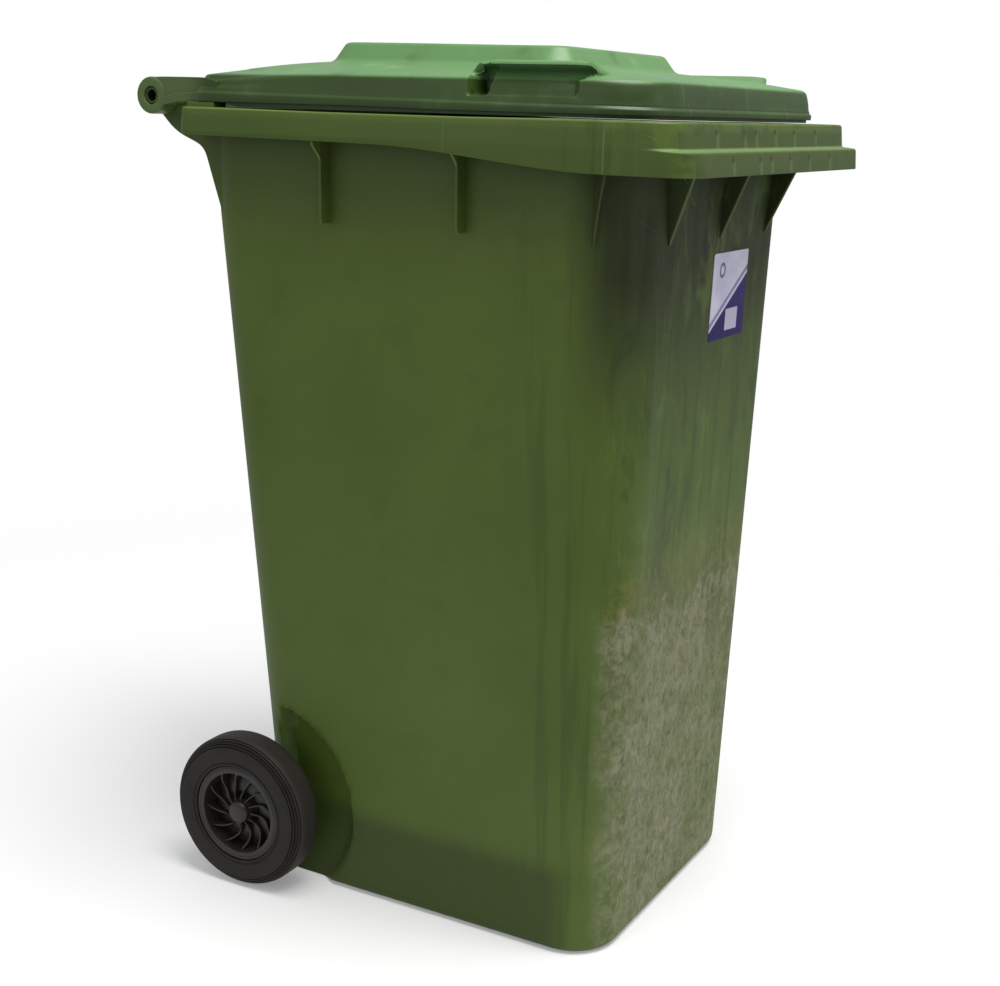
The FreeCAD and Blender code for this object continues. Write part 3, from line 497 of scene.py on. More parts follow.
def rubber_finish():
    """Black rubber gone slightly brown, with dust in fine rings and a dull skin."""
    f = Finish("tyre_black")
    grain = f.noise(260, detail=3)
    cloud = f.noise(14, detail=5, rough=0.65)
    side = abs(f.x).rise(0.279, 0.2825)
    tread = abs(f.x).rise(0.279, 0.274)
    f.ground((27, 24, 23), (37, 34, 31), cloud.rise(0.34, 0.7))
    f.wash((60, 55, 49), cloud.rise(0.60, 0.82) * 0.25)
    f.wash((50, 46, 41), side * grain.rise(0.5, 0.8) * 0.4)
    f.wash((50, 47, 42), tread * (0.5 + 0.4 * grain))
    rough = (0.50 + 0.22 * cloud - 0.05 * grain).held()
    return f.close(rough, grain + 2 * cloud, depth=0.00012, specular=0.22)


def wheel_finish():
    """Black moulded wheel plastic with a satin skin and a little grey dust."""
    f = Finish("wheel_black")
    grain = f.noise(300, detail=2)
    cloud = f.noise(22, detail=4)
    radial = f.noise(1, (20, 130, 130), detail=3)
    f.ground((27, 24, 21), (38, 34, 30), cloud.rise(0.35, 0.7))
    f.wash((66, 62, 58), radial.rise(0.6, 0.85) * 0.25)
    rough = (0.22 + 0.24 * cloud + 0.06 * grain).held()
    return f.close(rough, grain + 1.5 * cloud, depth=0.00009, specular=0.42)


def steel_finish(name, tint, base_rough):
    """Drawn steel with a zinc skin: fine lines round the bar, dull patches and specks of rust."""
    f = Finish(name)
    lines = f.noise(1, (900, 60, 60), detail=2)
    cloud = f.noise(40, detail=5, rough=0.7)
    rust = f.noise(120, detail=4).rise(0.66, 0.76)
    f.ground(tint, [part * 0.72 for part in tint], cloud.rise(0.35, 0.7))
    f.wash((112, 72, 46), rust * 0.5)
    rough = (base_rough + 0.18 * cloud + 0.10 * lines + 0.25 * rust).held()
    return f.close(rough, lines + cloud, depth=0.00004, metal=(1 - 0.8 * rust).held())


def label_finish():
    """A printed film: pale above, violet under a slanting edge, with one panel and a ring."""
    f = Finish("label_print")
    low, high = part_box("label")
    across = (f.x - low.x) / (high.x - low.x)
    up = (f.z - low.z) / (high.z - low.z)
    fold = f.noise(30, detail=3)
    wear = f.noise(90, detail=5, rough=0.7)
    pale = f.mix(linear(186, 184, 208), linear(204, 202, 220), fold.rise(0.3, 0.7))
    violet = f.mix(linear(34, 20, 84), linear(44, 30, 98), fold.rise(0.35, 0.65))
    slope = up - 0.10 - 0.62 * across
    field = slope.rise(0.012, -0.012)
    ribbon = slope.rise(0.035, 0.05) * slope.rise(0.11, 0.095)
    f.colour = f.mix(pale, violet, field)
    f.wash((112, 96, 150), ribbon * 0.8)
    panel = (across.rise(0.44, 0.45) * across.rise(0.80, 0.79)
             * up.rise(0.08, 0.09) * up.rise(0.34, 0.33))
    f.wash((176, 172, 194), panel)
    disc = 1 - f.spot(across, up, (0.26, 0.80), (0.085, 0.092)).rise(0, 0.06)
    core = f.spot(across, up, (0.26, 0.80), (0.05, 0.054)).rise(0, 0.08)
    ring = (1 - disc) * (1 - core)
    f.wash((84, 70, 120), ring * 0.85)
    f.wash((140, 138, 150), wear.rise(0.62, 0.78) * 0.4)
    rough = (0.45 + 0.2 * wear).held()
    return f.close(rough, fold * 3 + wear, depth=0.00006, specular=0.2)


tub_green = tub_finish()
lid_green = lid_finish()
pin_green = pin_finish()
tyre_black = rubber_finish()
wheel_black = wheel_finish()
axle_zinc = steel_finish("axle_zinc", (168, 170, 172), 0.30)
spring_wire = steel_finish("spring_wire", (120, 120, 124), 0.28)
label_print = label_finish()


# ---- the loop round the tub and the lid ----


class Loop:
    """Columns that run from the middle of the front, round one side, to the middle of the rear.

    A level is a rounded rectangle: (half width, front y, rear y, front corner, rear corner). Along
    each straight run a column keeps its share of the run; in a corner it keeps its share of the
    quarter circle. The other half is the mirror image.
    """

    def __init__(self, front, front_arc, side, rear_arc, rear):
        self.front = np.asarray(front)
        self.front_arc = np.linspace(0, 1, front_arc + 2)[1:-1] * math.pi / 2
        self.side = np.asarray(side)
        self.rear_arc = np.linspace(0, 1, rear_arc + 2)[1:-1]
        self.rear = np.asarray(rear)
        counts = [len(part) for part in
                  (self.front, self.front_arc, self.side, self.rear_arc, self.rear)]
        self.count = sum(counts)
        part = np.repeat(np.arange(5), counts)
        self.rear_share = np.where(part == 4, 1.0, 0.0)
        self.rear_share[part == 3] = smooth(self.rear_arc, 0.1, 0.9)

    def half(self, levels, split=None):
        """The x and y of every column at every level, as two arrays of levels by columns."""
        wide, front, rear, front_corner, rear_corner = np.asarray(levels, float).T[:5, :, None]
        ahead_x, ahead_y = wide - front_corner, front + front_corner
        behind_x, behind_y = wide - rear_corner, rear - rear_corner
        if split is None:
            turn = self.rear_arc * math.pi / 2 * np.ones_like(wide)
        else:
            turn = self.split_turn(behind_x, rear_corner, split)
        ones = np.ones_like(wide)
        x = [ahead_x * self.front, ahead_x + front_corner * np.sin(self.front_arc),
             wide * np.ones_like(self.side), behind_x + rear_corner * np.cos(turn),
             behind_x * (1 - self.rear)]
        y = [front * np.ones_like(self.front), ahead_y - front_corner * np.cos(self.front_arc),
             ahead_y + (behind_y - ahead_y) * self.side, behind_y + rear_corner * np.sin(turn),
             rear * np.ones_like(self.rear)]
        return (np.concatenate([a * ones for a in x], 1), np.concatenate([a * ones for a in y], 1))

    def split_turn(self, centre, radius, split):
        """Rear corner angles with two columns that always stand at x = split and inside it."""
        half = len(self.rear_arc) // 2
        at = np.arccos(np.clip((split - centre) / radius, math.cos(1.35), math.cos(0.4)))
        inside = np.arccos(np.clip((split - 0.5 - centre) / radius,
                                   math.cos(1.37), math.cos(0.42)))
        first = at * np.linspace(0, 1, half + 1)[1:]
        rest = np.linspace(0, 1, len(self.rear_arc) - half + 1)[:-1]
        return np.concatenate([first, inside + (math.pi / 2 - inside) * rest], 1)

    def whole(self, x, y, z):
        """Rings of points from the half loop's arrays and their mirror image."""
        half = np.stack([x, y, z], -1)
        other = half[:, -2:0:-1] * (-1, 1, 1)
        return np.concatenate([half, other], 1)


# ---- tub ----

BASE = (215, -265.5, 216.5, 62, 62)
SHOULDER = (250.5, -286, 282, 84, 56)
COLLAR = (252, -288, 284, 84, 56)
SHOULDER_HEIGHT = 860
WALL = 4
BAY_HALF_WIDTH = 190
BAY_FRONT, BAY_ROOF = 171, 108
ARCH_RADIUS, ARCH_FLOOR, ARCH_REAR = 140, 200, 190
WEB_FOOT, WEB_TOP, WEB_HALF = 848, 978, 1.75
BORE = 10.4  # radius inside the bosses of the tub and the wheels


def body_level(z, inset):
    """The tub's outline at a height: straight from base to shoulder to collar, softly bent."""
    z = np.asarray(z, float)[:, None]
    base, shoulder, collar = (np.array(level) for level in (BASE, SHOULDER, COLLAR))
    lower = base + (shoulder - base) * z / SHOULDER_HEIGHT
    span = COLLAR_HEIGHT - SHOULDER_HEIGHT
    slope = (collar - shoulder) / span - (shoulder - base) / SHOULDER_HEIGHT
    bend = 9
    past = z - SHOULDER_HEIGHT
    eased = np.where(past < -bend, 0, np.where(past > bend, past, (past + bend) ** 2 / 4 / bend))
    level = lower + slope * eased
    level = np.where(z > COLLAR_HEIGHT, collar, level)
    inset = np.asarray(inset, float) * np.ones((len(z), 1))
    return level + np.concatenate([-inset, inset, -inset, -inset, -inset], 1)


def carved(x, y, z, thicker):
    """The wall pushed in for the wheel arches and the axle bay.

    In the arch x eases to the arch's floor by an S curve of the distance inside its circle; in the
    bay y is held to the bay's front face and to the 45 degree roof over it.
    """
    away = np.hypot(y - AXLE[0], z - AXLE[1])
    inside = (smooth(ARCH_RADIUS + thicker - away, 0, 15)
              * smooth(ARCH_REAR + thicker - y, 0, 10))
    floor_x = ARCH_FLOOR - thicker
    x = np.where((x > floor_x) & (y > 0), x + (floor_x - x) * inside, x)
    roof = BAY_FRONT - thicker + np.clip(z - BAY_ROOF + thicker * 0.4, 0, None) * 0.99
    bay = (x < BAY_HALF_WIDTH - 0.2 + thicker) & (y > 0)
    roof = roof + 3 * np.exp(-((z - BAY_ROOF) / 7) ** 2)
    return x, np.where(bay, np.minimum(y, roof), y)


def skirt_edge(y):
    """Height of the skirt's lower edge: level at the front, rising in an S curve to the rear."""
    y = np.maximum(y, -262)
    return COLLAR_HEIGHT + 18 * smooth(y, -262, 20) + 5 * (y + 262) / 545


def tub_shell():
    """Rings of one rounded outline after another: up the wall, round the rim, down the inside."""
    loop = Loop(np.linspace(0, 1, 22), 18, np.linspace(0, 1, 62), 24, np.linspace(0, 1, 18))
    # outer wall, from the rounded base edge to the underside of the rim plate
    edge = 13
    turn = np.linspace(0, 1, 8) * math.pi / 2
    low = edge - edge * np.cos(turn)
    inset = edge - edge * np.sin(turn)
    z_wall = np.concatenate([low, np.arange(18, 262, 6), np.linspace(275, 838, 18),
                             np.arange(848, 876, 3), np.arange(880, 926, 9),
                             [926, 938, 950, 962, 972]])
    insets = np.concatenate([inset, np.zeros(len(z_wall) - len(inset))])
    x, y = loop.half(body_level(z_wall, insets[:, None]), BAY_HALF_WIDTH)
    z = z_wall[:, None] * np.ones_like(x)
    # the long walls are faintly wavy, by half a millimetre
    soft = np.sin(y / 61 + 0.6) * np.sin(z / 97) * smooth(z, 240, 380) * smooth(z, 840, 700)
    x = x + 0.5 * soft * smooth(x, 190, 215) * smooth(np.abs(y), 205, 120)
    x, y = carved(x, y, z, 0)
    rear = loop.rear_share[None]
    z = np.where(z > COLLAR_HEIGHT, COLLAR_HEIGHT + (z - COLLAR_HEIGHT) * (1 - 0.4535 * rear), z)
    wall_rings = loop.whole(x, y, z)
    # the rim: station = outline and height, rounded where two runs meet
    rear_in = 284.6
    stations = [
        (*COLLAR, 974),
        (252.5, -288.5, 284.1, 83, 55, 976.5),
        (286, -339, rear_in, 30, 14, 976.5),
        (286, -339.5, rear_in, 30, 14, 949.6),
        (286, -359.5, rear_in, 30, 14, 948.4),
        (286, -360.5, rear_in, 30, 14, COLLAR_HEIGHT),
        (289.6, -364.5, 287, 34, 16, COLLAR_HEIGHT),
        (RIM_HALF_WIDTH, -362.6, 287, 34, 16, 951.2),
        (RIM_HALF_WIDTH, -344.2, 287, 34, 16, 953.2),
        (288.6, -342, 285.8, 34, 16, RIM_TOP),
        (249, -285, 281, 81, 53, RIM_TOP),
        (248, -284, 280, 80, 52, 972),
    ]
    cuts = [2, 3, 2, 2, 1.3, 1.5, 3.2, 2.4, 3.4, 1.6]
    rim = rounded_path(stations, cuts, 5)
    x, y = loop.half(rim)
    z = rim[:, 5:] * np.ones_like(x)
    turn_row = np.argmax(rim[:, 0] > 288)
    inner_side = (np.arange(len(rim)) < turn_row)[:, None]
    edge_z = skirt_edge(y)
    scale = np.where(inner_side, 1 - 0.974 * rear, 1)
    lower = edge_z + (z - COLLAR_HEIGHT) * (STEP_HEIGHT - edge_z) / (STEP_HEIGHT - COLLAR_HEIGHT)
    z = np.where(z > STEP_HEIGHT, STEP_HEIGHT + (z - STEP_HEIGHT) * scale, lower)
    # the rim sags a little at the middle of each side
    sag = 1.6 * smooth(y, -250, -90) * smooth(y, 262, 60)
    z = z - sag * smooth(z, 966, 976)
    rim_rings = loop.whole(x, y, z)
    # inner wall, down to the floor
    z_in = np.concatenate([[955, 926, 900], np.arange(876, 848, -5),
                           np.linspace(820, 290, 14), np.arange(266, 20, -7), [14, 9, 6]])
    deep = np.concatenate([np.full(len(z_in) - 3, WALL), [6, 9, 15]])
    x, y = loop.half(body_level(z_in, deep[:, None]), BAY_HALF_WIDTH + WALL)
    z = z_in[:, None] * np.ones_like(x)
    x, y = carved(x, y, z, WALL)
    inner_rings = loop.whole(x, y, z)
    return tube_of(np.concatenate([wall_rings, rim_rings, inner_rings]))


def side_web(y):
    """A web under the side skirt: flat plate in the x, z plane."""
    corners = [(249, 978), (287.5, 978), (287.5, 946), (286.6, 943), (273, 930),
               (271, 925), (269.6, 860), (267.6, 855), (249, 855)]
    return plate(corners, y - WEB_HALF, 2 * WEB_HALF, axis="y")


def gusset(inner, outer):
    """A thin plate between two lines that rise together from the webs' foot to their top.

    inner and outer give (x, y) at evenly spaced heights; the outer edge is a little thinner.
    """
    z = np.linspace(WEB_FOOT, WEB_TOP, len(inner))
    across = np.stack([inner[:, 1] - outer[:, 1], outer[:, 0] - inner[:, 0]], 1)
    across = across / np.maximum(np.linalg.norm(across, axis=1), 1e-6)[:, None]
    across = across * WEB_HALF
    sides = [inner - across, outer - across * 0.7, outer + across * 0.7, inner + across]
    points = [np.column_stack([side, z]) for side in sides]
    return tube_of(np.stack(points, 1))


def front_web(x_foot, x_top):
    """A three-cornered web under the comb: it leans as it rises from its foot on the wall."""
    t = np.linspace(0, 1, 14)
    x = x_foot + (x_top - x_foot) * t
    inner = np.column_stack([x, np.full_like(t, -283)])
    outer = np.column_stack([x + 1.5 * t, -287.4 - 53 * t])
    return gusset(inner, outer)


def corner_web():
    """A web turned 35 degrees off the side, whose free edge runs out to the skirt on a curve."""
    z = np.linspace(WEB_FOOT, WEB_TOP, 20)
    rise = np.clip((z - WEB_FOOT) / 80, 0, 1)
    heading = math.radians(-35.5)
    outward = np.array([math.cos(heading), math.sin(heading)])
    wall = np.array([244, -238])
    inner = wall - np.full((len(z), 1), 4) * outward
    outer = wall + (2 + 49.6 * rise ** 1.4)[:, None] * outward
    return gusset(inner, outer)


def rest_pad():
    """The low pad on a rear corner of the rim."""
    corners = [(256, 979), (280, 979), (279.4, 986.2), (256.6, 986.2)]
    return plate(corners, 238, 40, axis="y")


def lug():
    """The hinge lug: its outline carried across its width, with a boss round the pin."""
    y, z = HINGE
    angle = np.radians(np.linspace(90, -48, 12))
    nose = np.column_stack([y + 20 * np.cos(angle), z + 20 * np.sin(angle)])
    heel = rounded_path([nose[-1], (330, 951), (286, 934), (273, 896), (258.6, 855)],
                        [14, 12, 10], 4)[1:]
    corners = [(254, 980), (287, 980), *nose, *heel, (254, 855)]
    outer = LUG_OUTER_X
    boss = sleeve(outer - 13, outer, BORE, 19.6, [1.2, 1.2, 0.8], 3, HINGE)
    return joined(plate(corners, outer - 11.5, 10.5), boss)


def handle_bar():
    """The bar between the lugs: rings whose radius follows a shallow cosine along the bar."""
    x = np.linspace(-230, 230, 93)
    wave = 13.6 + 0.7 * np.cos(x / 230 * math.pi * 5)
    radius = np.where(np.abs(x) > 214, 14.4, wave)
    return tube_of(rings_round(np.column_stack([x, radius]), HINGE, 48))


def bay_web(x):
    """A web across the axle bay."""
    corners = [(168, 3), (168, 112), (217, 163), (224, 160), (232, 126),
               (233, 118), (233, 84), (231, 76), (204, 6), (198, 3)]
    return plate(corners, x - 3, 6)


def axle_boss():
    """The boss that holds the axle where it leaves the bay."""
    return sleeve(187, 229, BORE, 21, [1.5, 1.8, 1], 4, AXLE)


TUB = ("tub_body", "green_plastic", tub_green, ["tub"])
webs = joined(both_sides(side_web(95), side_web(-84), corner_web(), front_web(153, 176)),
              front_web(0, 0))
cradle = both_sides(bay_web(72), bay_web(189), axle_boss())
piece("tub_shell", tub_shell(), *TUB, crease=38)
piece("rim_webs", webs, *TUB, bevel=0.7)
piece("rest_pads", both_sides(rest_pad()), *TUB, bevel=1.2)
piece("hinge_lugs", both_sides(lug()), *TUB, bevel=1)
piece("handle_bar", handle_bar(), *TUB)
piece("axle_cradle", cradle, *TUB, bevel=1)


# ---- lid ----

GRIP_REAR, GRIP_FRONT = -97, -226
RIDGE_RINGS = 60
UNDER_RINGS = 30


def lid_level(inset, z, lean=1):
    """The lid's outline set in from its edge by so much; at the rear by lean times that."""
    return (280 - inset, -315 + inset, 278 - inset * lean, 75 - inset * 0.6,
            22 - inset * 0.2, z)


def lid_shell():
    """The lid as rings: over the skirt, ridge, deck and platform, after those of the underside.

    Beside a grip every ring of the skirt and ridge leaves its own place for a place on the grip's
    profile, by the share that the column has in the pocket.
    """
    front_side = np.linspace(0, 0.07, 5)[:-1]
    grip_side = np.linspace(0.07, 0.52, 78)[:-1]
    rear_side = np.linspace(0.52, 1, 24)
    loop = Loop(np.linspace(0, 1, 20), 18, np.concatenate([front_side, grip_side, rear_side]),
                14, np.linspace(0, 1, 18))

    # the skirt and its bead, up to the foot of the main face
    foot, deck = lid_level(3, 999), lid_level(65, 1029.2, 0.6)
    skirt = rounded_path([lid_level(3.6, 986), lid_level(3.2, 985), lid_level(0.4, 985),
                          lid_level(0, 994.8), lid_level(2.6, 997.4), foot],
                         [0.6, 0.8, 1.2, 0.8], 4)
    # the main face, the ridge and the outer deck: the rings that the grips borrow
    ridge = evened(rounded_path([foot, lid_level(8, 1020.5, 0.7), deck], [6.5], 12), RIDGE_RINGS)
    crest = rounded_path([
        deck,
        (162, -162, 168, 34, 34, 1037.2),
        (146.5, -146.5, 152.5, 20, 20, 1058),
        (120, -120, 126, 14, 14, 1058),
    ], [5, 4], 6)
    crown = [(70, -70, 76, 8, 8, 1057.6), (20, -20, 26, 4, 4, 1057.4)]
    middle = np.linspace(ridge[-1], crest[1], 7)[1:-1]
    outer = np.concatenate([skirt[:-1], ridge, middle, crest[1:], crown])
    first = len(skirt) - 1
    x, y = loop.half(outer)
    z = outer[:, 5:] * np.ones_like(x)
    # the ridge falls to the rear, the bead falls to the front, and the platform tips forward
    z = z - 7.5 * smooth(y, 70, 262) * smooth(z, 999, 1014) * smooth(z, 1036, 1022)
    z = z + (1.3 - 0.0098 * (235 - y)) * smooth(z, 987, 992) * smooth(z, 1008, 1000)
    z = z + 1.5 * smooth(y, -90, 60) * smooth(z, 996, 988)
    z = z + 2 * smooth(y, -150, 150) * smooth(z, 1040, 1057)
    # the grip, as (x, z): floor, roll or hole, gap under the hood, its lip and top, the deck
    roll = rounded_path([(277, 999), (276.6, 1001.6), (268, 1002.2), (265, 1012),
                         (258, 1022), (246.5, 1030), (246.5, 1033.6), (264, 1033.2),
                         (267, 1034), (264, 1037.4), (250, 1038.6), (232, 1035.5),
                         (215, 1029.2)],
                        [1.2, 2, 5, 6, 2, 1.5, 1.5, 1.4, 2, 5, 6], 6)
    hole = rounded_path([(277, 999), (276.6, 1001), (252, 1001), (238, 1004),
                         (236, 1012), (236, 1022), (240, 1031), (258, 1032.6),
                         (263, 1033.6), (261, 1036.6), (249, 1037.6), (232, 1034.6),
                         (215, 1029.2)],
                        [1, 4, 3, 3, 3, 2, 1.4, 1.4, 2, 4, 6], 6)
    rings = slice(first, first + RIDGE_RINGS)
    y_here = y[rings]
    share = np.linspace(0, 1, RIDGE_RINGS)[:, None]
    in_roll = smooth(-y_here, 113, 121)
    hole, roll = evened(hole, RIDGE_RINGS), evened(roll, RIDGE_RINGS)
    grip_x = hole[:, :1] * (1 - in_roll) + roll[:, :1] * in_roll
    grip_z = hole[:, 1:] * (1 - in_roll) + roll[:, 1:] * in_roll
    # the pocket's ends: rounded at the rear, slanting at the front; the hood fades out slowly
    slant = -222 - 14 * smooth(share, 0.1, 0.55)
    start = -GRIP_REAR + 6 * smooth(share, 0.38, 0.66)
    pocket = smooth(-y_here, start, start + 4) * smooth(y_here, slant - 5, slant)
    hood = smooth(-y_here, 77, 99) * smooth(y_here, -247, -224)
    arch = (1 - 0.10 * (1 - smooth(-y_here, -GRIP_REAR, 122))
            - 0.06 * (1 - smooth(y_here, -240, -214)))
    weight = pocket + (hood - pocket) * smooth(share, 0.62, 0.78)
    at_side = (x[rings] > 200) & (np.abs(y_here - (GRIP_REAR + GRIP_FRONT) / 2) < 120)
    weight = np.where(at_side, weight, 0)
    x[rings] = drawn(x[rings], grip_x, weight)
    deck_z = z[rings]
    z[rings] = deck_z + ((grip_z - deck_z) * arch) * weight
    outer_rings = loop.whole(x, y, z)
    # the underside: the same run, one wall thickness in, and clear of the grips
    ceiling = lid_level(66, 1025.4, 0.6)
    under = np.concatenate([
        rounded_path([(20, -20, 26, 4, 4, 1054),
                      (140.5, -140.5, 146.5, 16, 16, 1054.5),
                      (156, -156, 162, 30, 30, 1034), ceiling], [4, 4], 4)[:-1],
        evened(rounded_path([ceiling, lid_level(11.5, 1017, 0.8), lid_level(6.6, 998),
                             lid_level(3.6, 987)], [4, 2], 4), UNDER_RINGS)])
    x, y = loop.half(under)
    z = under[:, 5:] * np.ones_like(x)
    rings = slice(len(under) - UNDER_RINGS, len(under))
    inner = evened(rounded_path([(214, 1025.4), (233, 1024), (233, 997.6), (272.6, 996.4),
                                 (276.4, 987)], [3, 3, 2], 3), UNDER_RINGS)
    y_here = y[rings]
    clear = smooth(-y_here, 84, 92) * smooth(y_here, -250, -243)
    clear = np.where((x[rings] > 200) & (y_here < 0), clear, 0)
    x[rings] = drawn(x[rings], inner[:, :1], clear)
    z[rings] = drawn(z[rings], inner[:, 1:], clear)
    under_rings = loop.whole(x, y, z)
    return tube_of(np.concatenate([under_rings, outer_rings]))


def lid_rib():
    """The drip rib under the lid: an angle section carried round inside the skirt."""
    loop = Loop(np.linspace(0, 1, 6), 14, np.linspace(0, 1, 24), 8, np.linspace(0, 1, 6))
    section = [(2.6, 995.4), (2.6, 992.6), (5.4, 992.6), (5.4, 981.5), (8, 981.5), (8, 995.4)]
    levels = np.array([lid_level(inset, z) for inset, z in section])
    x, y = loop.half(levels)
    z = levels[:, 5:] * np.ones_like(x)
    z = z + 6 * smooth(y, 214, 232) * (z < 985)
    return ring_of(loop.whole(x, y, z))


def lid_arm():
    """An arm from the lid's rear corner to its eye: an outline carried along X, and a bead."""
    y, z = HINGE
    start = LUG_OUTER_X + 2
    top = [(236, 1010), (250, 1013), (266, 1013.8), (284, 1013.9), (302, 1013.9),
           (320, 1013.9), (336, 1013.5)]
    angle = np.radians(np.linspace(105, 240, 12))
    socket = np.column_stack([y + 16 * np.cos(angle), z + 16 * np.sin(angle)])
    face = [*top, *socket, (330, 977.6), (322, 982.6), (304, 986.6), (284, 986.8),
            (266, 986.9), (250, 987), (236, 987)]
    bead = [(236, 986.4), (250, 986.4), (266, 986.2), (284, 986), (304, 985.6),
            (322, 982), (326, 990.5), (304, 995.6), (284, 996), (266, 996.4),
            (250, 996.6), (236, 996.6)]
    eye = sleeve(start, start + 25, 10.5, 21.6, [1.6, 2.4, 1.4], 4, HINGE)
    points, faces = joined(plate(face, start + 1, 22.6), plate(bead, start + 1.5, 24.5))
    # the outer side eases outward by 10 mm on its way to the lid
    out = (points[:, 0] > start + 12) * smooth(points[:, 1], 330, 240)
    return joined((points + out[:, None] * (10, 0, 0), faces), eye)


LID = ("lid_body", "lid_plastic", lid_green, ["lid"])
piece("lid_shell", lid_shell(), *LID, crease=40)
piece("lid_rib", lid_rib(), *LID)
piece("lid_arms", both_sides(lid_arm()), *LID, bevel=1.6)


# ---- wheels ----

SPOKES = 12
TYRE_MIDDLE = 257.5
GROOVES, GROOVE_DEPTH = (0.22, 0.36, 0.50, 0.64), 1.9


def tyre(sign):
    """The tyre: its half section carried round the axle, with four grooves on each shoulder.

    From the side to the crown the section is a quarter of an ellipse, cut by the grooves.
    """
    t = np.linspace(0, 1, 97)
    turn = t * math.pi / 2
    x = 266 + 16.9 * np.cos(turn)
    radius = 84 + 15.9 * np.sin(turn)
    groove = np.zeros_like(t)
    for middle in GROOVES:
        groove += np.clip(1.6 - np.abs(t - middle) / 0.022, 0, 1)
    lean = np.column_stack([x - 256, radius - 74])
    lean /= np.linalg.norm(lean, axis=1)[:, None]
    shoulder = np.column_stack([x, radius]) - GROOVE_DEPTH * groove[:, None] * lean
    lip = [(281.2, 64), (281.6, 66.4), (280.6, 67.2), (280.6, 68.4), (282, 69.6), (282.8, 75)]
    half = [*lip, *shoulder]
    back = [(TYRE_MIDDLE * 2 - side_x, r) for side_x, r in half[::-1]]
    return turned(np.array(half + back) * (sign, 1), AXLE, 160)


def swirl_spoke(angle, sign):
    """One spoke: a thin blade that sweeps round as it goes out, at a radius of 12 + 43 t.

    Its angle grows by 30 degrees times t to the power 1.7, and its section is a small wedge.
    """
    t = np.linspace(0, 1, 12)
    radius = 12 + 43 * t
    turn = angle + math.radians(30) * t ** 1.7
    centre = np.column_stack([radius * np.cos(turn), radius * np.sin(turn)])
    ahead = np.gradient(centre, axis=0)
    ahead /= np.linalg.norm(ahead, axis=1)[:, None]
    across = np.column_stack([-ahead[:, 1], ahead[:, 0]])
    face = 273 - 6.5 * np.sin(t * math.pi) ** 2 + t
    width = 1.5 + 0.5 * t
    rings = []
    for side, depth in ((-1, 0), (-0.55, 1), (0.55, 1), (1, 0)):
        x = (face + 0.9 * depth - 0.9) if depth else np.full_like(t, 262)
        flat = centre + side * width[:, None] * across
        rings.append(np.column_stack([x * sign, AXLE[0] + flat[:, 0], AXLE[1] + flat[:, 1]]))
    shape = tube_of(np.stack(rings, 1))
    return shape if sign > 0 else turned_over(shape)


def wheel_rim(sign):
    """The moulded wheel: ring, dished disc, twelve swirl spokes, closed boss and hub tube."""
    ring = rounded_loop([(279.6, 53.4), (280.6, 55), (280.6, 61.6), (279.4, 63.8),
                         (237, 63.8), (236, 61), (236, 53), (238, 51.2),
                         (256, 50.2)], [1, 1.4, 1.6, 1.4, 1.4, 1.4, 1.4, 1], 3)
    bead = rounded_path([(280.2, 58.2), (281.4, 59), (281.4, 60), (280.2, 60.8)],
                        [0.5, 0.5], 3)
    disc = rounded_loop([(256, 53.5), (258, 53.5), (263, 30), (263, 20),
                         (252, 20), (252, 30), (254, 53.5)],
                        [0.5, 4, 1, 1, 4, 0.5], 3)
    boss = rounded_path([(262, BORE), (262, 20), (272, 15.4), (278.6, 14.2),
                         (280.4, 9), (281, 0.4), (274.6, 0.4), (274.6, BORE)],
                        [1, 2, 2.6, 2, 0, 0], 4)
    hub = rounded_loop([(233.5, BORE), (233.5, 22), (236, 24), (263, 24),
                        (263, BORE)], [1, 1, 1, 1], 3)
    shapes = [turned(part * (sign, 1), AXLE, 120) for part in (ring, bead, disc, hub, boss)]
    spokes = [swirl_spoke(2 * math.pi * k / SPOKES, sign) for k in range(SPOKES)]
    return joined(*shapes, *spokes)


for side, sign in SIDES:
    piece(f"tyre_tread_{side}", tyre(sign), f"wheel_{side}", "tyre_rubber", tyre_black,
          [f"tyre_{side}"], crease=28)
    piece(f"wheel_disc_{side}", wheel_rim(sign), f"wheel_{side}", "wheel_plastic", wheel_black,
          [f"wheel_rim_{side}"], crease=30)


# ---- small CAD parts that keep their own shape ----

finishes = {"axle": axle_zinc, "label": label_print}
for side, _ in SIDES:
    finishes[f"hinge_pin_{side}"] = pin_green
    finishes[f"latch_pin_{side}"] = axle_zinc
    finishes[f"latch_plug_{side}"] = wheel_black
    finishes[f"latch_spring_{side}"] = spring_wire
for name, finish in finishes.items():
    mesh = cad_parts[name].data
    mesh.materials.clear()
    mesh.materials.append(finish)


# ---- floor, light and camera ----


def floor_finish():
    """A pale matt studio floor with the faintest mottling, which thins out into the surround."""
    f = Finish("studio_floor")
    cloud = f.noise(1.5, detail=3.0)
    f.colour = f.mix((0.90, 0.90, 0.90), (0.93, 0.93, 0.925), cloud)
    away = (f.x * f.x + f.y * f.y) ** 0.5
    return f.close(0.75, cloud, depth=0.0001, specular=0.2,
                   alpha=0.80 * away.rise(2.3, 0.55))


def studio_floor():
    """A flat disc, sampled as rings."""
    radius = np.array([50.0, 400.0, 800.0, 1200.0, 1600.0, 2000.0, 2400.0])
    angle = np.linspace(0, 2 * math.pi, 64, endpoint=False)
    x, y = radius[:, None] * np.cos(angle), radius[:, None] * np.sin(angle)
    z = np.full_like(x, -0.6)
    disc = turned_over(tube_of(np.stack([x, y, z], -1), last_cap=False))
    linked("studio_floor", mesh_of("studio_floor", disc, floor_finish()))


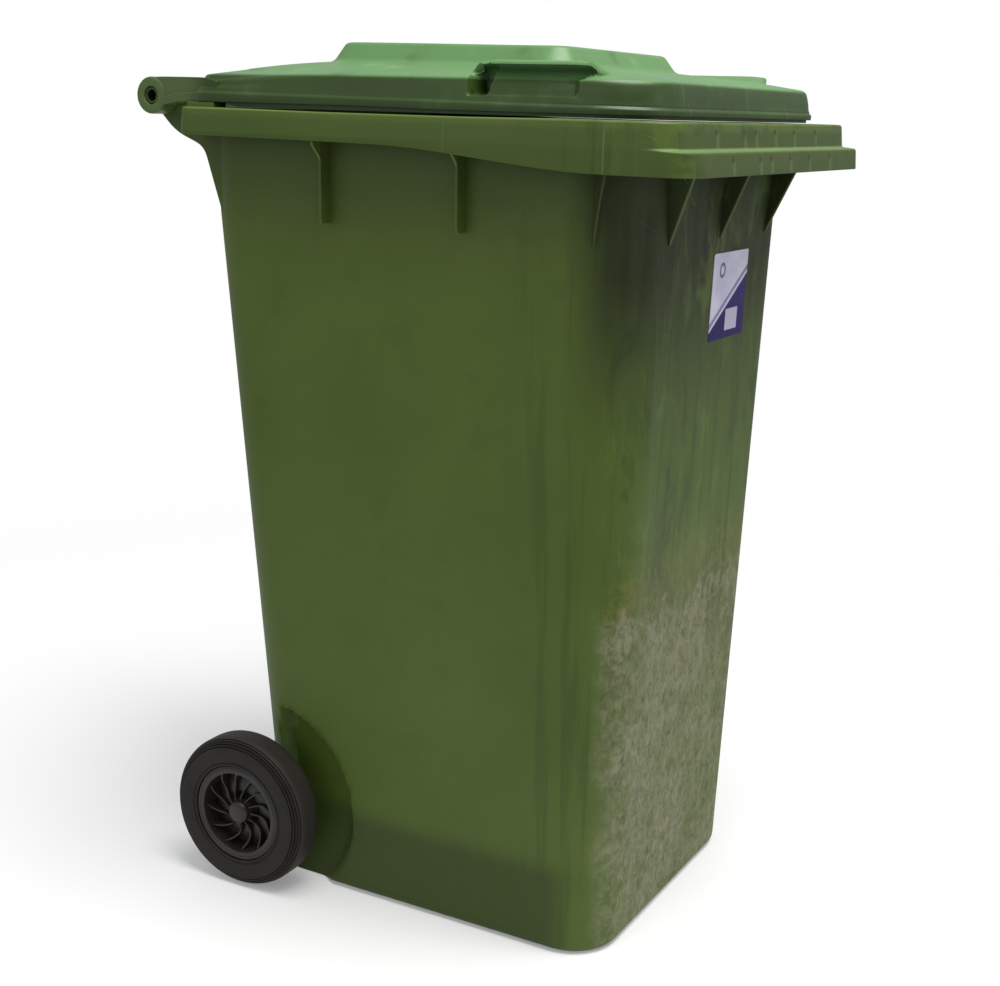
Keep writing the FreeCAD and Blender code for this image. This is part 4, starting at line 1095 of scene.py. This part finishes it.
def lamp(name, place, target, size, power, colour=(1, 1, 1)):
    """A square soft light that faces its target."""
    light = bpy.data.lights.new(name, "AREA")
    light.shape = "RECTANGLE"
    light.size, light.size_y = size
    light.energy = power
    light.color = colour
    item = linked(name, light)
    item.location = place
    aim = Vector(target) - Vector(place)
    item.rotation_euler = aim.to_track_quat("-Z", "Y").to_euler()


CAMERA_PLACE = (-1.7495, -0.9541, 0.9878)
CAMERA_TURN = (61.44, -13.79, 1.69)
CAMERA_LENS = 56.3


def studio_camera():
    """The camera, turned by its heading from +Y towards +X, its pitch and its roll."""
    heading, pitch, roll = (math.radians(angle) for angle in CAMERA_TURN)
    ahead = Vector((math.sin(heading) * math.cos(pitch), math.cos(heading) * math.cos(pitch),
                    math.sin(pitch)))
    right = Vector((math.cos(heading), -math.sin(heading), 0.0))
    up = right.cross(ahead)
    across = math.cos(roll) * right + math.sin(roll) * up
    upward = math.cos(roll) * up - math.sin(roll) * right
    camera = linked("camera", bpy.data.cameras.new("camera"))
    camera.data.lens = CAMERA_LENS
    camera.data.sensor_width = 36.0
    camera.data.sensor_fit = "HORIZONTAL"
    camera.data.clip_end = 60.0
    turn = Matrix((across, upward, -ahead)).transposed().to_4x4()
    camera.matrix_world = Matrix.Translation(CAMERA_PLACE) @ turn
    bpy.context.scene.camera = camera


def studio_world():
    """A white surround to look at, and a softer grey one that lights the object."""
    world = bpy.data.worlds.new("studio")
    world.use_nodes = True
    nodes, links = world.node_tree.nodes, world.node_tree.links
    lit = nodes["Background"]
    lit.inputs["Color"].default_value = (0.93, 0.95, 0.97, 1.0)
    lit.inputs["Strength"].default_value = 0.5
    seen = nodes.new("ShaderNodeBackground")
    seen.inputs["Color"].default_value = (1.0, 1.0, 1.0, 1.0)
    seen.inputs["Strength"].default_value = 1.0
    path, mixed = nodes.new("ShaderNodeLightPath"), nodes.new("ShaderNodeMixShader")
    links.new(path.outputs["Is Camera Ray"], mixed.inputs[0])
    links.new(lit.outputs[0], mixed.inputs[1])
    links.new(seen.outputs[0], mixed.inputs[2])
    links.new(mixed.outputs[0], nodes["World Output"].inputs["Surface"])
    bpy.context.scene.world = world


studio_floor()
studio_camera()
lamp("overhead", (-0.3, -0.9, 3.6), (0, 0, 0.5), (2.2, 2.2), 150, (1.0, 1.0, 0.98))
lamp("left_window", (-3.4, 0.9, 1.9), (0, 0, 0.5), (2.4, 2.2), 13, (1.0, 1.0, 1.0))
lamp("front_fill", (0.6, -3.6, 1.2), (0, 0, 0.45), (2.2, 1.6), 14, (0.97, 0.98, 1.0))
studio_world()
bpy.context.scene.view_settings.view_transform = "Standard"
